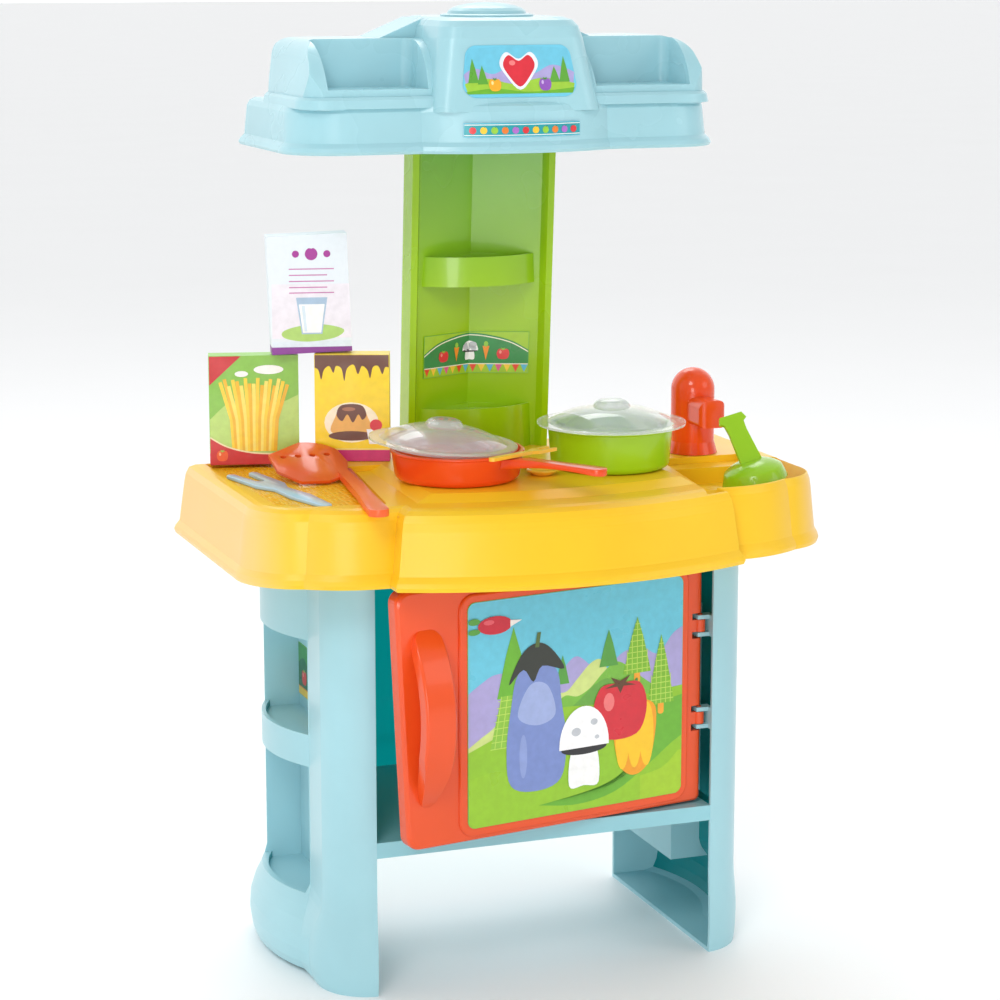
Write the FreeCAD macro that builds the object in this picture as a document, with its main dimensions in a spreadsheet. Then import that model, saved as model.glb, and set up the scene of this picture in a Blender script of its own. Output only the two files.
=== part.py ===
import FreeCAD, Part
import math
import os

import Sketcher
from FreeCAD import Placement, Rotation, Vector

# Toy kitchen: two shell legs, an oven with a side-hung door, a moulded worktop with
# board, hob and sink, a splash-back tower with shelves, a hood, and loose toy cookware.
# Millimetres; +Z up, X to the right, Y to the back; the origin is on the floor, in the
# middle of the outer box.

os.makedirs("parts", exist_ok=True)
doc = FreeCAD.newDocument("ToyKitchen")

# ---------------------------------------------------------------- driving dimensions

SIZES = {
    # moulded shells
    "wall": 2.6,
    "skin": 0.3,
    # worktop
    "top_half": 223, "top_back": 135, "rim_low": 308, "top_face": 362, "side_end": -34,
    "corner_x": 187, "corner_y": -85, "corner_round": 50, "wing_round": 90,
    "step_x": 131, "step_back": -103, "step_front": -117, "front_round": 320.4,
    "plate_under": 355.5, "board_face": 359.6, "hob_face": 366,
    "sink_floor": 345, "sink_left": 118, "sink_back": -4, "ledge_face": 357,
    "ledge_back": 16, "ledge_left": 120, "ledge_right": 194,
    # legs
    "leg_in": 130, "leg_front": -66, "leg_back": 120, "leg_top": 342,
    "ridge_x": 162, "ridge_y": -37, "bay_x": 157, "bay_front": 9, "bay_round": 104.3,
    "column_round": 34.8, "bay_wall": 133.5, "bay_rear": 113.5,
    "upper_low": 177, "upper_high": 248, "lower_low": 57, "lower_high": 153, "lip": 5,
    # oven
    "floor_under": 103, "floor_face": 114.5, "floor_half": 130, "floor_back": 116.5,
    "panel_front": 116.5, "panel_thick": 3, "panel_half": 130, "panel_high": 350,
    # door
    "hinge_x": 124.5, "hinge_y": -54.5, "door_low": 116, "door_high": 303.5,
    "door_wide": 250, "door_thick": 12, "door_front": 2, "door_ajar": 9.8,
    "knuckle_hi": 250, "knuckle_lo": 180, "pin_r": 1.8, "running": 0.05,
    "handle_low": 147, "handle_high": 275, "handle_mid": 231, "handle_wide": 22,
    # tower
    "tower_half": 56, "tower_low_y": 80, "tower_high_y": 61, "tower_high": 626,
    "tower_deep": 24, "vee_deep": 26, "shelf_hi": 514, "shelf_lo": 399, "shelf_drop": 22,
    # hood
    "hood_half": 165, "hood_low": 596, "hood_back": 145, "hood_front": -4,
    "hood_bulge": 19, "hood_crease": 71, "apron_top": 631, "wing_top": 675,
    "block_top": 690, "block_half": 60, "block_front": -10, "wing_half": 151,
    "wing_front": 4, "wing_back": 116, "niche_floor": 641, "niche_back": 50,
    "niche_out": 138, "dome_r": 31, "dome_y": 60, "dome_top": 700,
    # tap
    "tap_x": 158, "tap_y": 37, "tap_r": 16.5, "tap_top": 427, "stem_r": 6,
    "spout_low": 386, "spout_high": 407, "spout_wide": 21, "spout_reach": 38,
    # cookware
    "pan_x": -53, "pan_y": -22, "pan_r": 47.5, "pan_high": 21.5, "pan_reach": 129,
    "pot_x": 68, "pot_y": -16, "pot_r": 46, "pot_high": 31, "lid_r": 54.5,
    "ladle_x": 171, "ladle_y": -47, "ladle_r": 24.5,
    # food boxes
    "spag_w": 66, "spag_h": 81.5, "spag_d": 18, "pud_w": 55, "pud_h": 79.5,
    "pud_d": 20, "milk_w": 59, "milk_h": 87, "milk_d": 20,
    # screws
    "screw_r": 1.6, "screw_head": 3.6,
}

sheet = doc.addObject("Spreadsheet::Sheet", "Sizes")
for row, (alias, number) in enumerate(SIZES.items(), start=1):
    sheet.set(f"A{row}", alias)
    sheet.set(f"B{row}", str(number))
    sheet.setAlias(f"B{row}", alias)
doc.recompute()


class Size:
    """A length held twice: as a number now, and as the expression that binds it."""

    def __init__(self, number, text):
        self.number = number
        self.text = text

    def __add__(self, other):
        other = as_size(other)
        return Size(self.number + other.number, f"({self.text} + {other.text})")

    __radd__ = __add__

    def __neg__(self):
        return Size(-self.number, f"(-{self.text})")

    def __sub__(self, other):
        return self + -as_size(other)

    def __rsub__(self, other):
        return as_size(other) - self

    def __mul__(self, factor):
        return Size(self.number * factor, f"({self.text} * {factor})")

    __rmul__ = __mul__

    def __truediv__(self, factor):
        return self * (1.0 / factor)


def as_size(value):
    """A plain number as a Size."""
    if isinstance(value, Size):
        return value
    return Size(float(value), f"({float(value)})")


def cell(alias):
    """A driving dimension of the sheet."""
    return Size(float(getattr(sheet, alias)), f"Sizes.{alias}")


# ---------------------------------------------------------------- building blocks

subparts = []


def part(shape_object, label):
    """Name an object as one sub-part of the kitchen."""
    shape_object.Label = label
    subparts.append(shape_object)
    return shape_object


def bind(thing, **sizes):
    """Bind properties of an object to Size expressions."""
    for name, value in sizes.items():
        thing.setExpression(name, as_size(value).text)


def place(thing, x=0, y=0, z=0):
    """Bind the position of an object."""
    for axis, value in (("x", x), ("y", y), ("z", z)):
        thing.setExpression(f"Placement.Base.{axis}", as_size(value).text)


def turn(thing, degrees, axis=Vector(0, 0, 1)):
    """Turn an object about its own base point."""
    thing.Placement = Placement(thing.Placement.Base, Rotation(axis, degrees))


def box(name, low, high):
    """A box between two corners."""
    block = doc.addObject("Part::Box", name)
    sides = [as_size(b) - as_size(a) for a, b in zip(low, high)]
    bind(block, Length=sides[0], Width=sides[1], Height=sides[2])
    place(block, *low)
    return block


def cylinder(name, base, radius, height):
    """An upright cylinder on its base centre."""
    rod = doc.addObject("Part::Cylinder", name)
    bind(rod, Radius=radius, Height=height)
    place(rod, *base)
    return rod


def cut(name, base, tool):
    """Base less tool."""
    result = doc.addObject("Part::Cut", name)
    result.Base = base
    result.Tool = tool
    return result


def common(name, one, two):
    """What two shapes share."""
    result = doc.addObject("Part::Common", name)
    result.Base = one
    result.Tool = two
    return result


def fuse(name, *shapes):
    """Several shapes as one solid."""
    result = doc.addObject("Part::MultiFuse", name)
    result.Shapes = list(shapes)
    result.Refine = True
    return result


def fillet(name, base, radius, choose):
    """Round the edges of a shape that a test picks."""
    doc.recompute()
    result = doc.addObject("Part::Fillet", name)
    result.Base = base
    picked = [i for i, edge in enumerate(base.Shape.Edges, start=1) if choose(edge)]
    result.Edges = [(i, radius, radius) for i in picked]
    return result


def add_outline(sketch, corners):
    """Close a sketch through corners (x, y) or (x, y, radius), sizes bound.

    A radius makes the side from that corner to the next an arc: positive bulges
    to the right of the walk, negative to the left.
    """
    points = [(as_size(c[0]), as_size(c[1])) for c in corners]
    count = len(points)
    for i, corner in enumerate(corners):
        here, there = points[i], points[(i + 1) % count]
        a = Vector(here[0].number, here[1].number, 0)
        b = Vector(there[0].number, there[1].number, 0)
        if len(corner) < 3:
            sketch.addGeometry(Part.LineSegment(a, b), False)
            continue
        radius = as_size(corner[2]).number
        chord = b - a
        right = Vector(chord.y, -chord.x, 0).normalize()
        side = math.copysign(1, radius)
        rise = abs(radius) - math.sqrt(radius * radius - chord.Length ** 2 / 4)
        middle = (a + b) * 0.5 + right * side * rise
        first, last = (a, b) if radius > 0 else (b, a)
        sketch.addGeometry(Part.Arc(first, middle, last), False)
    ends = [(2, 1) if len(c) == 3 and as_size(c[2]).number < 0 else (1, 2) for c in corners]
    for i in range(count):
        after = (i + 1) % count
        pair = (i, ends[i][1], after, ends[after][0])
        sketch.addConstraint(Sketcher.Constraint("Coincident", *pair))
    for i, (x, y) in enumerate(points):
        for axis, size in (("X", x), ("Y", y)):
            rule = Sketcher.Constraint(f"Distance{axis}", -1, 1, i, ends[i][0], size.number)
            name_constraint(sketch, rule, f"{axis}{i}", size)
    for i, corner in enumerate(corners):
        if len(corner) == 3:
            size = as_size(corner[2])
            if size.number < 0:
                size = -size
            rule = Sketcher.Constraint("Radius", i, size.number)
            name_constraint(sketch, rule, f"R{i}", size)


def name_constraint(sketch, rule, name, size):
    """Add a constraint and bind it to a size."""
    index = sketch.addConstraint(rule)
    sketch.renameConstraint(index, name)
    sketch.setExpression(f"Constraints.{name}", size.text)


def section(name, corners, height):
    """A free horizontal sketch at one height."""
    sketch = doc.addObject("Sketcher::SketchObject", name)
    add_outline(sketch, corners)
    bind(sketch, **{"Placement.Base.z": height})
    return sketch


def loft(name, levels, ruled=True):
    """A solid through (height, corners) levels."""
    result = doc.addObject("Part::Loft", name)
    result.Sections = [section(f"{name}_s{i}", c, z) for i, (z, c) in enumerate(levels)]
    result.Solid = True
    result.Ruled = ruled
    return result


def prism(name, corners, low, high):
    """An outline extruded upwards."""
    result = doc.addObject("Part::Extrusion", name)
    result.Base = section(f"{name}_s", corners, low)
    result.DirMode = "Custom"
    result.Dir = Vector(0, 0, 1)
    result.Solid = True
    bind(result, LengthFwd=as_size(high) - as_size(low))
    return result


def side_prism(name, corners, low, high):
    """An outline drawn in (y, z) and extruded along +X from low to high."""
    sketch = doc.addObject("Sketcher::SketchObject", f"{name}_s")
    add_outline(sketch, corners)
    sketch.Placement = Placement(Vector(), Rotation(Vector(1, 1, 1), 120))
    bind(sketch, **{"Placement.Base.x": low})
    result = doc.addObject("Part::Extrusion", name)
    result.Base = sketch
    result.DirMode = "Custom"
    result.Dir = Vector(1, 0, 0)
    result.Solid = True
    bind(result, LengthFwd=as_size(high) - as_size(low))
    return result


def front_prism(name, corners, low, high):
    """An outline drawn in (x, z) and extruded along +Y from low to high."""
    sketch = doc.addObject("Sketcher::SketchObject", f"{name}_s")
    add_outline(sketch, corners)
    sketch.Placement = Placement(Vector(), Rotation(Vector(1, 0, 0), 90))
    bind(sketch, **{"Placement.Base.y": low})
    result = doc.addObject("Part::Extrusion", name)
    result.Base = sketch
    result.DirMode = "Custom"
    result.Dir = Vector(0, 1, 0)
    result.Solid = True
    bind(result, LengthFwd=as_size(high) - as_size(low))
    return result


def front_loft(name, levels):
    """A ruled solid through (depth, corners) levels, each drawn in (x, z)."""
    sketches = []
    for i, (depth, corners) in enumerate(levels):
        sketch = doc.addObject("Sketcher::SketchObject", f"{name}_s{i}")
        add_outline(sketch, corners)
        sketch.Placement = Placement(Vector(), Rotation(Vector(1, 0, 0), 90))
        bind(sketch, **{"Placement.Base.y": depth})
        sketches.append(sketch)
    result = doc.addObject("Part::Loft", name)
    result.Sections = sketches
    result.Solid = True
    result.Ruled = True
    return result


def round_prism(name, width, depth, radius, low, high, x=0, y=0):
    """An upright block with rounded vertical corners, centred on (x, y)."""
    x, y, radius = as_size(x), as_size(y), as_size(radius)
    w, d = as_size(width) / 2, as_size(depth) / 2
    r = radius
    corners = [
        (x + w, y - d + r), (x + w, y + d - r, r), (x + w - r, y + d), (x - w + r, y + d, r),
        (x - w, y + d - r), (x - w, y - d + r, r), (x - w + r, y - d), (x + w - r, y - d, r),
    ]
    return prism(name, corners, low, high)


def body_with(label):
    """A PartDesign body that is one sub-part."""
    body = doc.addObject("PartDesign::Body", label)
    return part(body, label)


def body_sketch(body, name, role, corners, offset=0):
    """A sketch on one of a body's origin planes, shifted along its normal."""
    sketch = body.newObject("Sketcher::SketchObject", name)
    plane = [f for f in body.Origin.OriginFeatures if f.Role == role][0]
    sketch.AttachmentSupport = [(plane, "")]
    sketch.MapMode = "FlatFace"
    bind(sketch, **{"AttachmentOffset.Base.z": offset})
    if corners:
        add_outline(sketch, corners)
    return sketch


def pad(body, name, sketch, length):
    """Pad a sketch of a body along its plane's normal."""
    feature = body.newObject("PartDesign::Pad", name)
    feature.Profile = sketch
    bind(feature, Length=length)
    sketch.Visibility = False
    return feature


def pocket(body, name, sketch, length):
    """Pocket a body upwards from a sketch, and see that it removes something."""
    doc.recompute()
    before = body.Shape.Volume
    feature = body.newObject("PartDesign::Pocket", name)
    feature.Profile = sketch
    feature.Reversed = True
    bind(feature, Length=length)
    doc.recompute()
    if body.Shape.Volume > before - 1:
        raise RuntimeError(f"{name} removes nothing")
    return feature


def mirrored(corners):
    """The same outline on the other side of X = 0, still walked the same way round."""
    flipped = []
    for i in range(len(corners) - 1, -1, -1):
        x, y = corners[i][0], corners[i][1]
        before = corners[i - 1]
        arc = (before[2],) if len(before) == 3 else ()
        flipped.append((-as_size(x), y) + arc)
    return flipped

# ---------------------------------------------------------------- worktop


def top_outline(inset):
    """The worktop's outline: straight sides, round corners and a bulging front."""
    half = cell("top_half") - inset
    back = cell("top_back") - inset
    corner_x = cell("corner_x") - 0.7 * inset
    corner_y = cell("corner_y") + 0.7 * inset
    step_x = cell("step_x") - inset
    step_back = cell("step_back") + inset
    step_front = cell("step_front") + inset
    corner = cell("corner_round") - inset
    wing = cell("wing_round") - inset
    front = cell("front_round") - inset
    end = cell("side_end")
    return [
        (half, back), (-half, back), (-half, end, corner),
        (-corner_x, corner_y, wing), (-step_x, step_back),
        (-step_x, step_front, front), (step_x, step_front),
        (step_x, step_back, wing), (corner_x, corner_y, corner), (half, end),
    ]


def plateau_outline(left, right, back, front, skew):
    """The raised hob area: straight sides that spread to the front, bowed front."""
    return [
        (right, back), (left, back), (left - skew, front, 330), (right + skew / 2, front),
    ]


def sink_region(grow, low, high, name):
    """An upright block over the sink, wider towards its open front."""
    left, back = cell("sink_left") - grow, cell("sink_back") + grow
    return prism(name, [(240, -150), (240, back), (left, back), (left - 21, -150)], low, high)


def boss_spots():
    """Where screws join the worktop to the legs."""
    return [(side * 148, y) for side in (-1, 1) for y in (62, 104)]


def tower_spots():
    """Where screws join the tower to the worktop below and to the hood above."""
    return [-30, 30]


def make_worktop():
    """Hollow moulded top with a board recess, a hob plateau, a sink and a tap ledge."""
    low, face = cell("rim_low"), cell("top_face")
    shell = loft("top_shell", [
        (low, top_outline(1)), (low + 3, top_outline(0)), (low + 6, top_outline(1)),
        (low + 10, top_outline(3.5)), (low + 40, top_outline(7)),
        (low + 46, top_outline(8)), (low + 51, top_outline(10)),
        (face - 0.8, top_outline(14)), (face, top_outline(18)),
    ])
    under = cell("plate_under")
    wall = cell("wall")
    hollow = loft("top_hollow", [
        (low - 1, top_outline(3.2 + wall)), (low + 10, top_outline(3.6 + wall)),
        (low + 40, top_outline(7.2 + wall)), (under, top_outline(12 + wall)),
    ])
    floor = cell("sink_floor")
    sink_under = common("sink_under",
                        sink_region(4, floor - wall, under + 1, "sink_under_region"),
                        prism("sink_under_plan", top_outline(9), floor - wall, under + 1))
    step_under = box("step_under", (cell("ledge_left") - 3, cell("sink_back") - 4,
                                    cell("ledge_face") - wall - 2),
                     (cell("ledge_right") + 3, cell("ledge_back") + 3, under + 1))
    hob = cell("hob_face")
    plateau = loft("hob_plateau", [
        (under + 1, plateau_outline(-104, 106, 112, -98, 19)),
        (hob, plateau_outline(-86, 97, 108, -72, 4)),
    ])
    shelf = prism("board_shelf", [
        (-80, 47), (-80, 108), (-125, 108), (-141, 76), (-141, 47),
    ], under + 1, hob)
    bosses = [cylinder(f"top_boss_{i}", (x, y, cell("leg_top")), 5, under + 1 - cell("leg_top"))
              for i, (x, y) in enumerate(boss_spots())]
    plain = fuse("top_plain", cut("top_open", shell, hollow), sink_under, step_under,
                 plateau, shelf, *bosses)

    board_y = cell("step_back") + 47
    board = prism("board_recess", [
        (-108, board_y + 101), (-143, board_y + 103), (-143, board_y + 171),
        (-203, board_y + 171), (-203, board_y + 15, 40), (-178, board_y - 12),
        (-124, board_y - 20),
    ], cell("board_face"), hob + 5)
    sink = common("sink_bowl", loft("sink_walls", [
        (floor, top_outline(16)), (face + 8, top_outline(8)),
    ]), sink_region(0, floor - 1, face + 9, "sink_room"))
    ledge = box("tap_step", (cell("ledge_left"), cell("sink_back") - 4, cell("ledge_face")),
                (cell("ledge_right"), cell("ledge_back"), hob + 5))
    stem_hole = cylinder("stem_hole", (cell("tap_x"), cell("tap_y"), under - 4),
                         cell("stem_r") + cell("running"), 20)
    bores = [cylinder(f"top_bore_{i}", (x, y, cell("leg_top") - 1), cell("screw_r") + 0.1, 13)
             for i, (x, y) in enumerate(boss_spots())]
    bores += [cylinder(f"top_tower_bore_{i}", (x, tower_wall(hob + 7), under - 1),
                       cell("screw_r") + 0.1, 13) for i, x in enumerate(tower_spots())]
    carved = cut("top_carved", plain,
                 fuse("top_tools", board, sink, ledge, stem_hole, *bores))
    drain = doc.addObject("Part::Cone", "sink_drain")
    bind(drain, Radius1=11, Radius2=8, Height=3)
    place(drain, cell("sink_left") + 24, cell("sink_back") - 30, floor - 0.2)
    part(fuse("worktop", carved, drain), "worktop")


# ---------------------------------------------------------------- legs


def leg_outline(grow, inset=0, inner=0):
    """A leg's outline: convex front column, a crease, and a bulging side."""
    ridge_x = cell("ridge_x") + 0.6 * grow - inset
    ridge_y = cell("ridge_y") + 1.7 * grow + 0.4 * inset
    bay_x = cell("bay_x") + 1.5 * grow - inset
    bay_front = cell("bay_front") - 2.1 * grow
    back = cell("leg_back") - inset
    front = cell("leg_front") - 0.2 * grow + inset
    column = cell("column_round") + 1.2 * grow - inset
    bay = cell("bay_round") + 7.0 * grow - inset
    return [
        (cell("leg_in") - inner, front, column), (ridge_x, ridge_y),
        (bay_x, bay_front, bay), (bay_x, back), (cell("leg_in") - inner, back),
    ]


FOOT = [(0, 2), (1.5, 4.5), (5, 7), (12, 9), (22, 10), (32, 9.4), (42, 7), (50, 4),
        (57, 1.5), (64, 0)]


def leg_levels(inset, inner, low, high, walk):
    """Heights and outlines of a leg from its foot to its top."""
    levels = [(low, walk(leg_outline(FOOT[0][1], inset, inner)))]
    for height, grow in FOOT:
        if height > low:
            levels.append((height, walk(leg_outline(grow, inset, inner))))
    levels.append((high, walk(leg_outline(0, inset, inner))))
    return levels


def bay_cut(name, side, low, high, grow):
    """The room of one side compartment, with a sunk floor behind its lip."""
    wall = cell("bay_wall") - grow
    front, rear = cell("bay_front") + 0.5 - grow, cell("bay_rear") + grow
    x_low, x_high = (wall, 200) if side > 0 else (-200, -wall)
    opening = box(f"{name}_opening", (x_low, front, as_size(low) - grow),
                  (x_high, rear, as_size(high) + grow))
    return opening


def make_leg(label, side):
    """A moulded leg, open towards the oven, with two compartments in its side."""
    walk = mirrored if side < 0 else (lambda corners: corners)
    wall = cell("wall")
    top = cell("leg_top")
    outer = loft(f"{label}_outer", leg_levels(0, 0, 0, top, walk))
    inner = loft(f"{label}_inner", leg_levels(2.6, 3, 3, top - wall, walk))
    lip = cell("lip")
    rooms, grown = [], []
    for room, low, high in (("upper", cell("upper_low"), cell("upper_high")),
                            ("lower", cell("lower_low"), cell("lower_high"))):
        rooms.append(bay_cut(f"{label}_{room}", side, low, high, 0))
        grown.append(bay_cut(f"{label}_{room}_grown", side, low - lip, high, wall))
        sunk = prism(f"{label}_{room}_sunk_plan", walk(leg_outline(0, 2.6, 3)),
                     low - lip, low + 1)
        reach = bay_cut(f"{label}_{room}_reach", side, low - lip - 1, high, 0)
        rooms.append(common(f"{label}_{room}_sunk", sunk, reach))
    hollow = cut(f"{label}_hollow", inner, fuse(f"{label}_walls", *grown))
    tools = fuse(f"{label}_rooms", *rooms)
    holes = [cylinder(f"{label}_hole_{i}", (x, y, top - wall - 1), cell("screw_r") + 0.2, 5)
             for i, (x, y) in enumerate(boss_spots()) if x * side > 0]
    open_leg = cut(f"{label}_open", outer, hollow)
    part(cut(label, open_leg, fuse(f"{label}_cuts", tools, *holes)), label)


# ---------------------------------------------------------------- oven


def make_oven_floor():
    """The shelf tray between the legs, with a deep front lip and tabs into the legs."""
    body = body_with("oven_floor")
    half, front, back = cell("floor_half"), cell("leg_front"), cell("floor_back")
    low, face = cell("floor_under"), cell("floor_face")
    plan = body_sketch(body, "floor_plan", "XY_Plane", [
        (half, front), (half, back), (-half, back), (-half, front),
    ], low)
    pad(body, "floor_tray", plan, face - low)
    tabs = body_sketch(body, "tab_plan", "XY_Plane", [
        (half + 14, front + 25), (half + 14, front + 58), (-half - 14, front + 58),
        (-half - 14, front + 25),
    ], low + 1)
    pad(body, "floor_tabs", tabs, 6)
    for i, (x0, x1) in enumerate(((-half + 3, -1.2), (1.2, half - 3))):
        hollow = body_sketch(body, f"tray_hollow_plan_{i}", "XY_Plane", [
            (x1, front + 3), (x1, back - 3), (x0, back - 3), (x0, front + 3),
        ], low)
        pocket(body, f"tray_hollow_{i}", hollow, face - low - 3)


def make_back_panel():
    """A thin panel that closes the oven behind, with two shallow stiffening ribs."""
    body = body_with("back_panel")
    half, front = cell("panel_half"), cell("panel_front")
    thick = cell("panel_thick")
    plan = body_sketch(body, "panel_plan", "XY_Plane", [
        (half, front), (half, front + thick), (-half, front + thick), (-half, front),
    ], cell("floor_under"))
    pad(body, "panel_plate", plan, cell("panel_high") - cell("floor_under"))
    ribs = body_sketch(body, "rib_plan", "XY_Plane", [
        (half - 20, front + thick), (half - 20, front + thick + 3),
        (-half + 20, front + thick + 3), (-half + 20, front + thick),
    ], cell("floor_under") + 30)
    pad(body, "panel_rib", ribs, 6)


# ---------------------------------------------------------------- door


def door_frame(thing):
    """Swing an object of the closed door to where the door stands ajar."""
    hinge = Vector(cell("hinge_x").number, cell("hinge_y").number, 0)
    swing = Rotation(Vector(0, 0, 1), cell("door_ajar").number)
    thing.Placement = Placement(hinge - swing.multVec(hinge), swing)
    for axis, rule in (("x", "hinge_x - hinge_x * cos({a}) + hinge_y * sin({a})"),
                       ("y", "hinge_y - hinge_y * cos({a}) - hinge_x * sin({a})")):
        text = rule.replace("{a}", "Sizes.door_ajar * 1 deg")
        text = text.replace("hinge_", "Sizes.hinge_")
        thing.setExpression(f"Placement.Base.{axis}", text)


def make_door_panel():
    """The oven door: a tray-backed panel with a raised frame and hinge knuckles."""
    right = cell("hinge_x") + 1
    left = cell("hinge_x") - cell("door_wide")
    low, high = cell("door_low"), cell("door_high")
    front = cell("hinge_y") - cell("door_front")
    back = front + cell("door_thick")
    slab = front_loft("door_slab", [
        (back, door_outline(0)), (front + 3, door_outline(0)), (front + 1, door_outline(0.8)),
        (front, door_outline(2.4)),
    ])
    frame = front_loft("door_frame", [
        (front + 1, frame_outline(0)), (front - 0.8, frame_outline(0)),
        (front - 1.7, frame_outline(0.6)), (front - 2, frame_outline(1.6)),
    ])
    tray = box("door_tray", (left + 9, front + 3.2, low + 4), (right - 14, back + 1, high - 4))
    ribs = [box(f"door_rib_{i}", (left + 8, front + 3, low + 56 + 62 * i),
                (right - 13, back, low + 58.4 + 62 * i)) for i in range(3)]
    notches, knuckles = [], []
    for i, height in enumerate((cell("knuckle_hi"), cell("knuckle_lo"))):
        x, y = cell("hinge_x"), cell("hinge_y")
        notches.append(box(f"door_notch_{i}", (x - 8, front - 1, height - 9.5),
                           (x + 9, back + 1, height + 9.5)))
        knuckles.append(cylinder(f"door_knuckle_{i}", (x, y, height - 4.5), 4, 9))
        knuckles.append(box(f"door_arm_{i}", (x - 9, y - 1.6, height - 4.5),
                            (x, y + 2.4, height + 4.5)))
        knuckles.append(cylinder(f"door_pin_{i}", (x, y, height - 8.5), cell("pin_r"), 17))
    latch = box("door_latch", (left - 2.6, front + 3, high - 20), (left + 6, front + 8, high - 9))
    tray_free = cut("door_tray_free", tray, fuse("door_ribs", *ribs))
    hollow = cut("door_hollow", fuse("door_faced", slab, frame), tray_free)
    door = fuse("door_panel", cut("door_notched", hollow, fuse("door_notches", *notches)),
                latch, *knuckles)
    door_frame(door)
    part(door, "door_panel")


def door_outline(inset):
    """The door's edge: slightly wider at the top, with rounded corners."""
    right = cell("hinge_x") + 1 - inset
    left = cell("hinge_x") - cell("door_wide") + inset
    low, high = cell("door_low") + inset, cell("door_high") - inset
    return [
        (right, low + 4), (right, high - 4, 4), (right - 4, high), (left + 5, high, 9.2),
        (left - 4, high - 9), (left + 4.5, low + 9, 10.2), (left + 14.5, low),
        (right - 4, low, 4),
    ]


def frame_outline(inset):
    """The rounded frame of the door, with the space for the picture inside."""
    x = cell("hinge_x")
    left, right = x - 205 + inset, x - 12 - inset
    low, high = cell("door_low") + 4 + inset, cell("door_high") - 7 - inset
    r = 12 - inset
    return [
        (right, low + r), (right, high - r, r), (right - r, high), (left + r, high, r),
        (left, high - r), (left, low + r, r), (left + r, low), (right - r, low, r),
    ]


def make_door_handle():
    """A bowed bar that stands off the door, narrower at its lower end."""
    front = cell("hinge_y") - cell("door_front")
    low, high = cell("handle_low"), cell("handle_high")
    mid = cell("hinge_x") - cell("handle_mid")
    wide = cell("handle_wide") / 2
    side = side_prism("handle_side", [
        (front, high, 97.3), (front, low), (front, low + 14, -93.5), (front, high - 14),
    ], mid - wide - 1, mid + wide + 1)
    face = front_prism("handle_face", [
        (mid + wide - 5, low + 6, 300), (mid + wide - 0.5, high - 8, 8),
        (mid + wide - 7, high), (mid - wide + 7, high, 8),
        (mid - wide + 0.5, high - 8, 300), (mid - wide + 5, low + 6, 7),
        (mid - wide + 9, low), (mid + wide - 9, low, 7),
    ], front - 40, front + 1)
    bar = common("handle_bar", side, face)
    soft = fillet("handle_soft", bar, 2.2, lambda edge: edge.BoundBox.YMax < front.number - 4
                  and edge.BoundBox.ZLength > 50)
    door_frame(soft)
    part(soft, "door_handle")


def make_hinge_lugs():
    """Two forks on the right leg that hold the door's pins."""
    x, y = cell("hinge_x"), cell("hinge_y")
    inner = cell("leg_in")
    pieces, holes = [], []
    for i, height in enumerate((cell("knuckle_hi"), cell("knuckle_lo"))):
        for j, (low, high) in enumerate(((5, 8), (-8, -5))):
            pieces.append(box(f"lug_ear_{i}{j}", (x - 3.4, y - 4, height + low),
                              (inner + 2, y + 4, height + high)))
        pieces.append(box(f"lug_back_{i}", (inner + 0.4, cell("leg_front") + 2, height - 8),
                          (inner + 3.4, y + 4, height + 8)))
        holes.append(cylinder(f"lug_hole_{i}", (x, y, height - 12),
                              cell("pin_r") + cell("running"), 24))
    part(cut("hinge_lugs", fuse("lug_forks", *pieces), fuse("lug_holes", *holes)),
         "hinge_lugs")


# ---------------------------------------------------------------- tower


def tower_front(height):
    """How far forward the tower's front edge is at a height; it leans forward."""
    base, top = cell("hob_face").number, cell("tower_high").number
    share = (as_size(height).number - base) / (top - base)
    return cell("tower_low_y") * (1 - share) + cell("tower_high_y") * share


def tower_wall(height):
    """The middle of the tower's wall, where its screws go."""
    return tower_front(height) + 19.5


def tower_outline(front):
    """The tower's section: side flanges and a shallow V-shaped back."""
    half, vee = cell("tower_half"), cell("vee_deep")
    deep = cell("tower_deep")
    return [
        (half, front), (half, front + deep - 4), (0, front + vee + 6),
        (-half, front + deep - 4), (-half, front), (-half + 5, front),
        (-half + 8, front + 6), (0, front + vee), (half - 8, front + 6), (half - 5, front),
    ]


def shelf_plan(front, inset):
    """A corner shelf in the V: bowed lip in front, apex behind."""
    half = cell("tower_half") - 10 - inset
    side = front + 10
    apex = front + cell("vee_deep") + 2 - 1.5 * inset
    return [(half, side), (0, apex), (-half, side, 70 - inset)]


def make_tower():
    """The splash-back between worktop and hood, with two shelves."""
    base, top = cell("hob_face"), cell("tower_high")
    column = loft("tower_column", [
        (base, tower_outline(cell("tower_low_y"))), (top, tower_outline(cell("tower_high_y"))),
    ])
    shelves, hollows = [], []
    for name, face, drop in (("hi", cell("shelf_hi"), cell("shelf_drop")),
                             ("lo", cell("shelf_lo"), cell("shelf_lo") - base)):
        front = tower_front(face)
        shelves.append(prism(f"shelf_{name}", shelf_plan(front, 0), face - drop, face))
        hollows.append(prism(f"shelf_{name}_tray", shelf_plan(front, 2.4), face - 4, face + 1))
        hollows.append(prism(f"shelf_{name}_under", shelf_plan(front, 2.6),
                             face - drop - 1, face - 7))
    shelf_set = cut("shelf_set", fuse("shelf_blocks", *shelves), fuse("shelf_rooms", *hollows))
    bores = []
    for i, x in enumerate(tower_spots()):
        for end, height in (("low", base + 7), ("high", top - 7)):
            bores.append(cylinder(f"tower_bore_{end}_{i}", (x, tower_wall(height), height - 8),
                                  cell("screw_r") + 0.1, 16))
    part(cut("tower", fuse("tower_full", column, shelf_set), fuse("tower_bores", *bores)),
         "tower")


# ---------------------------------------------------------------- hood


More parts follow.
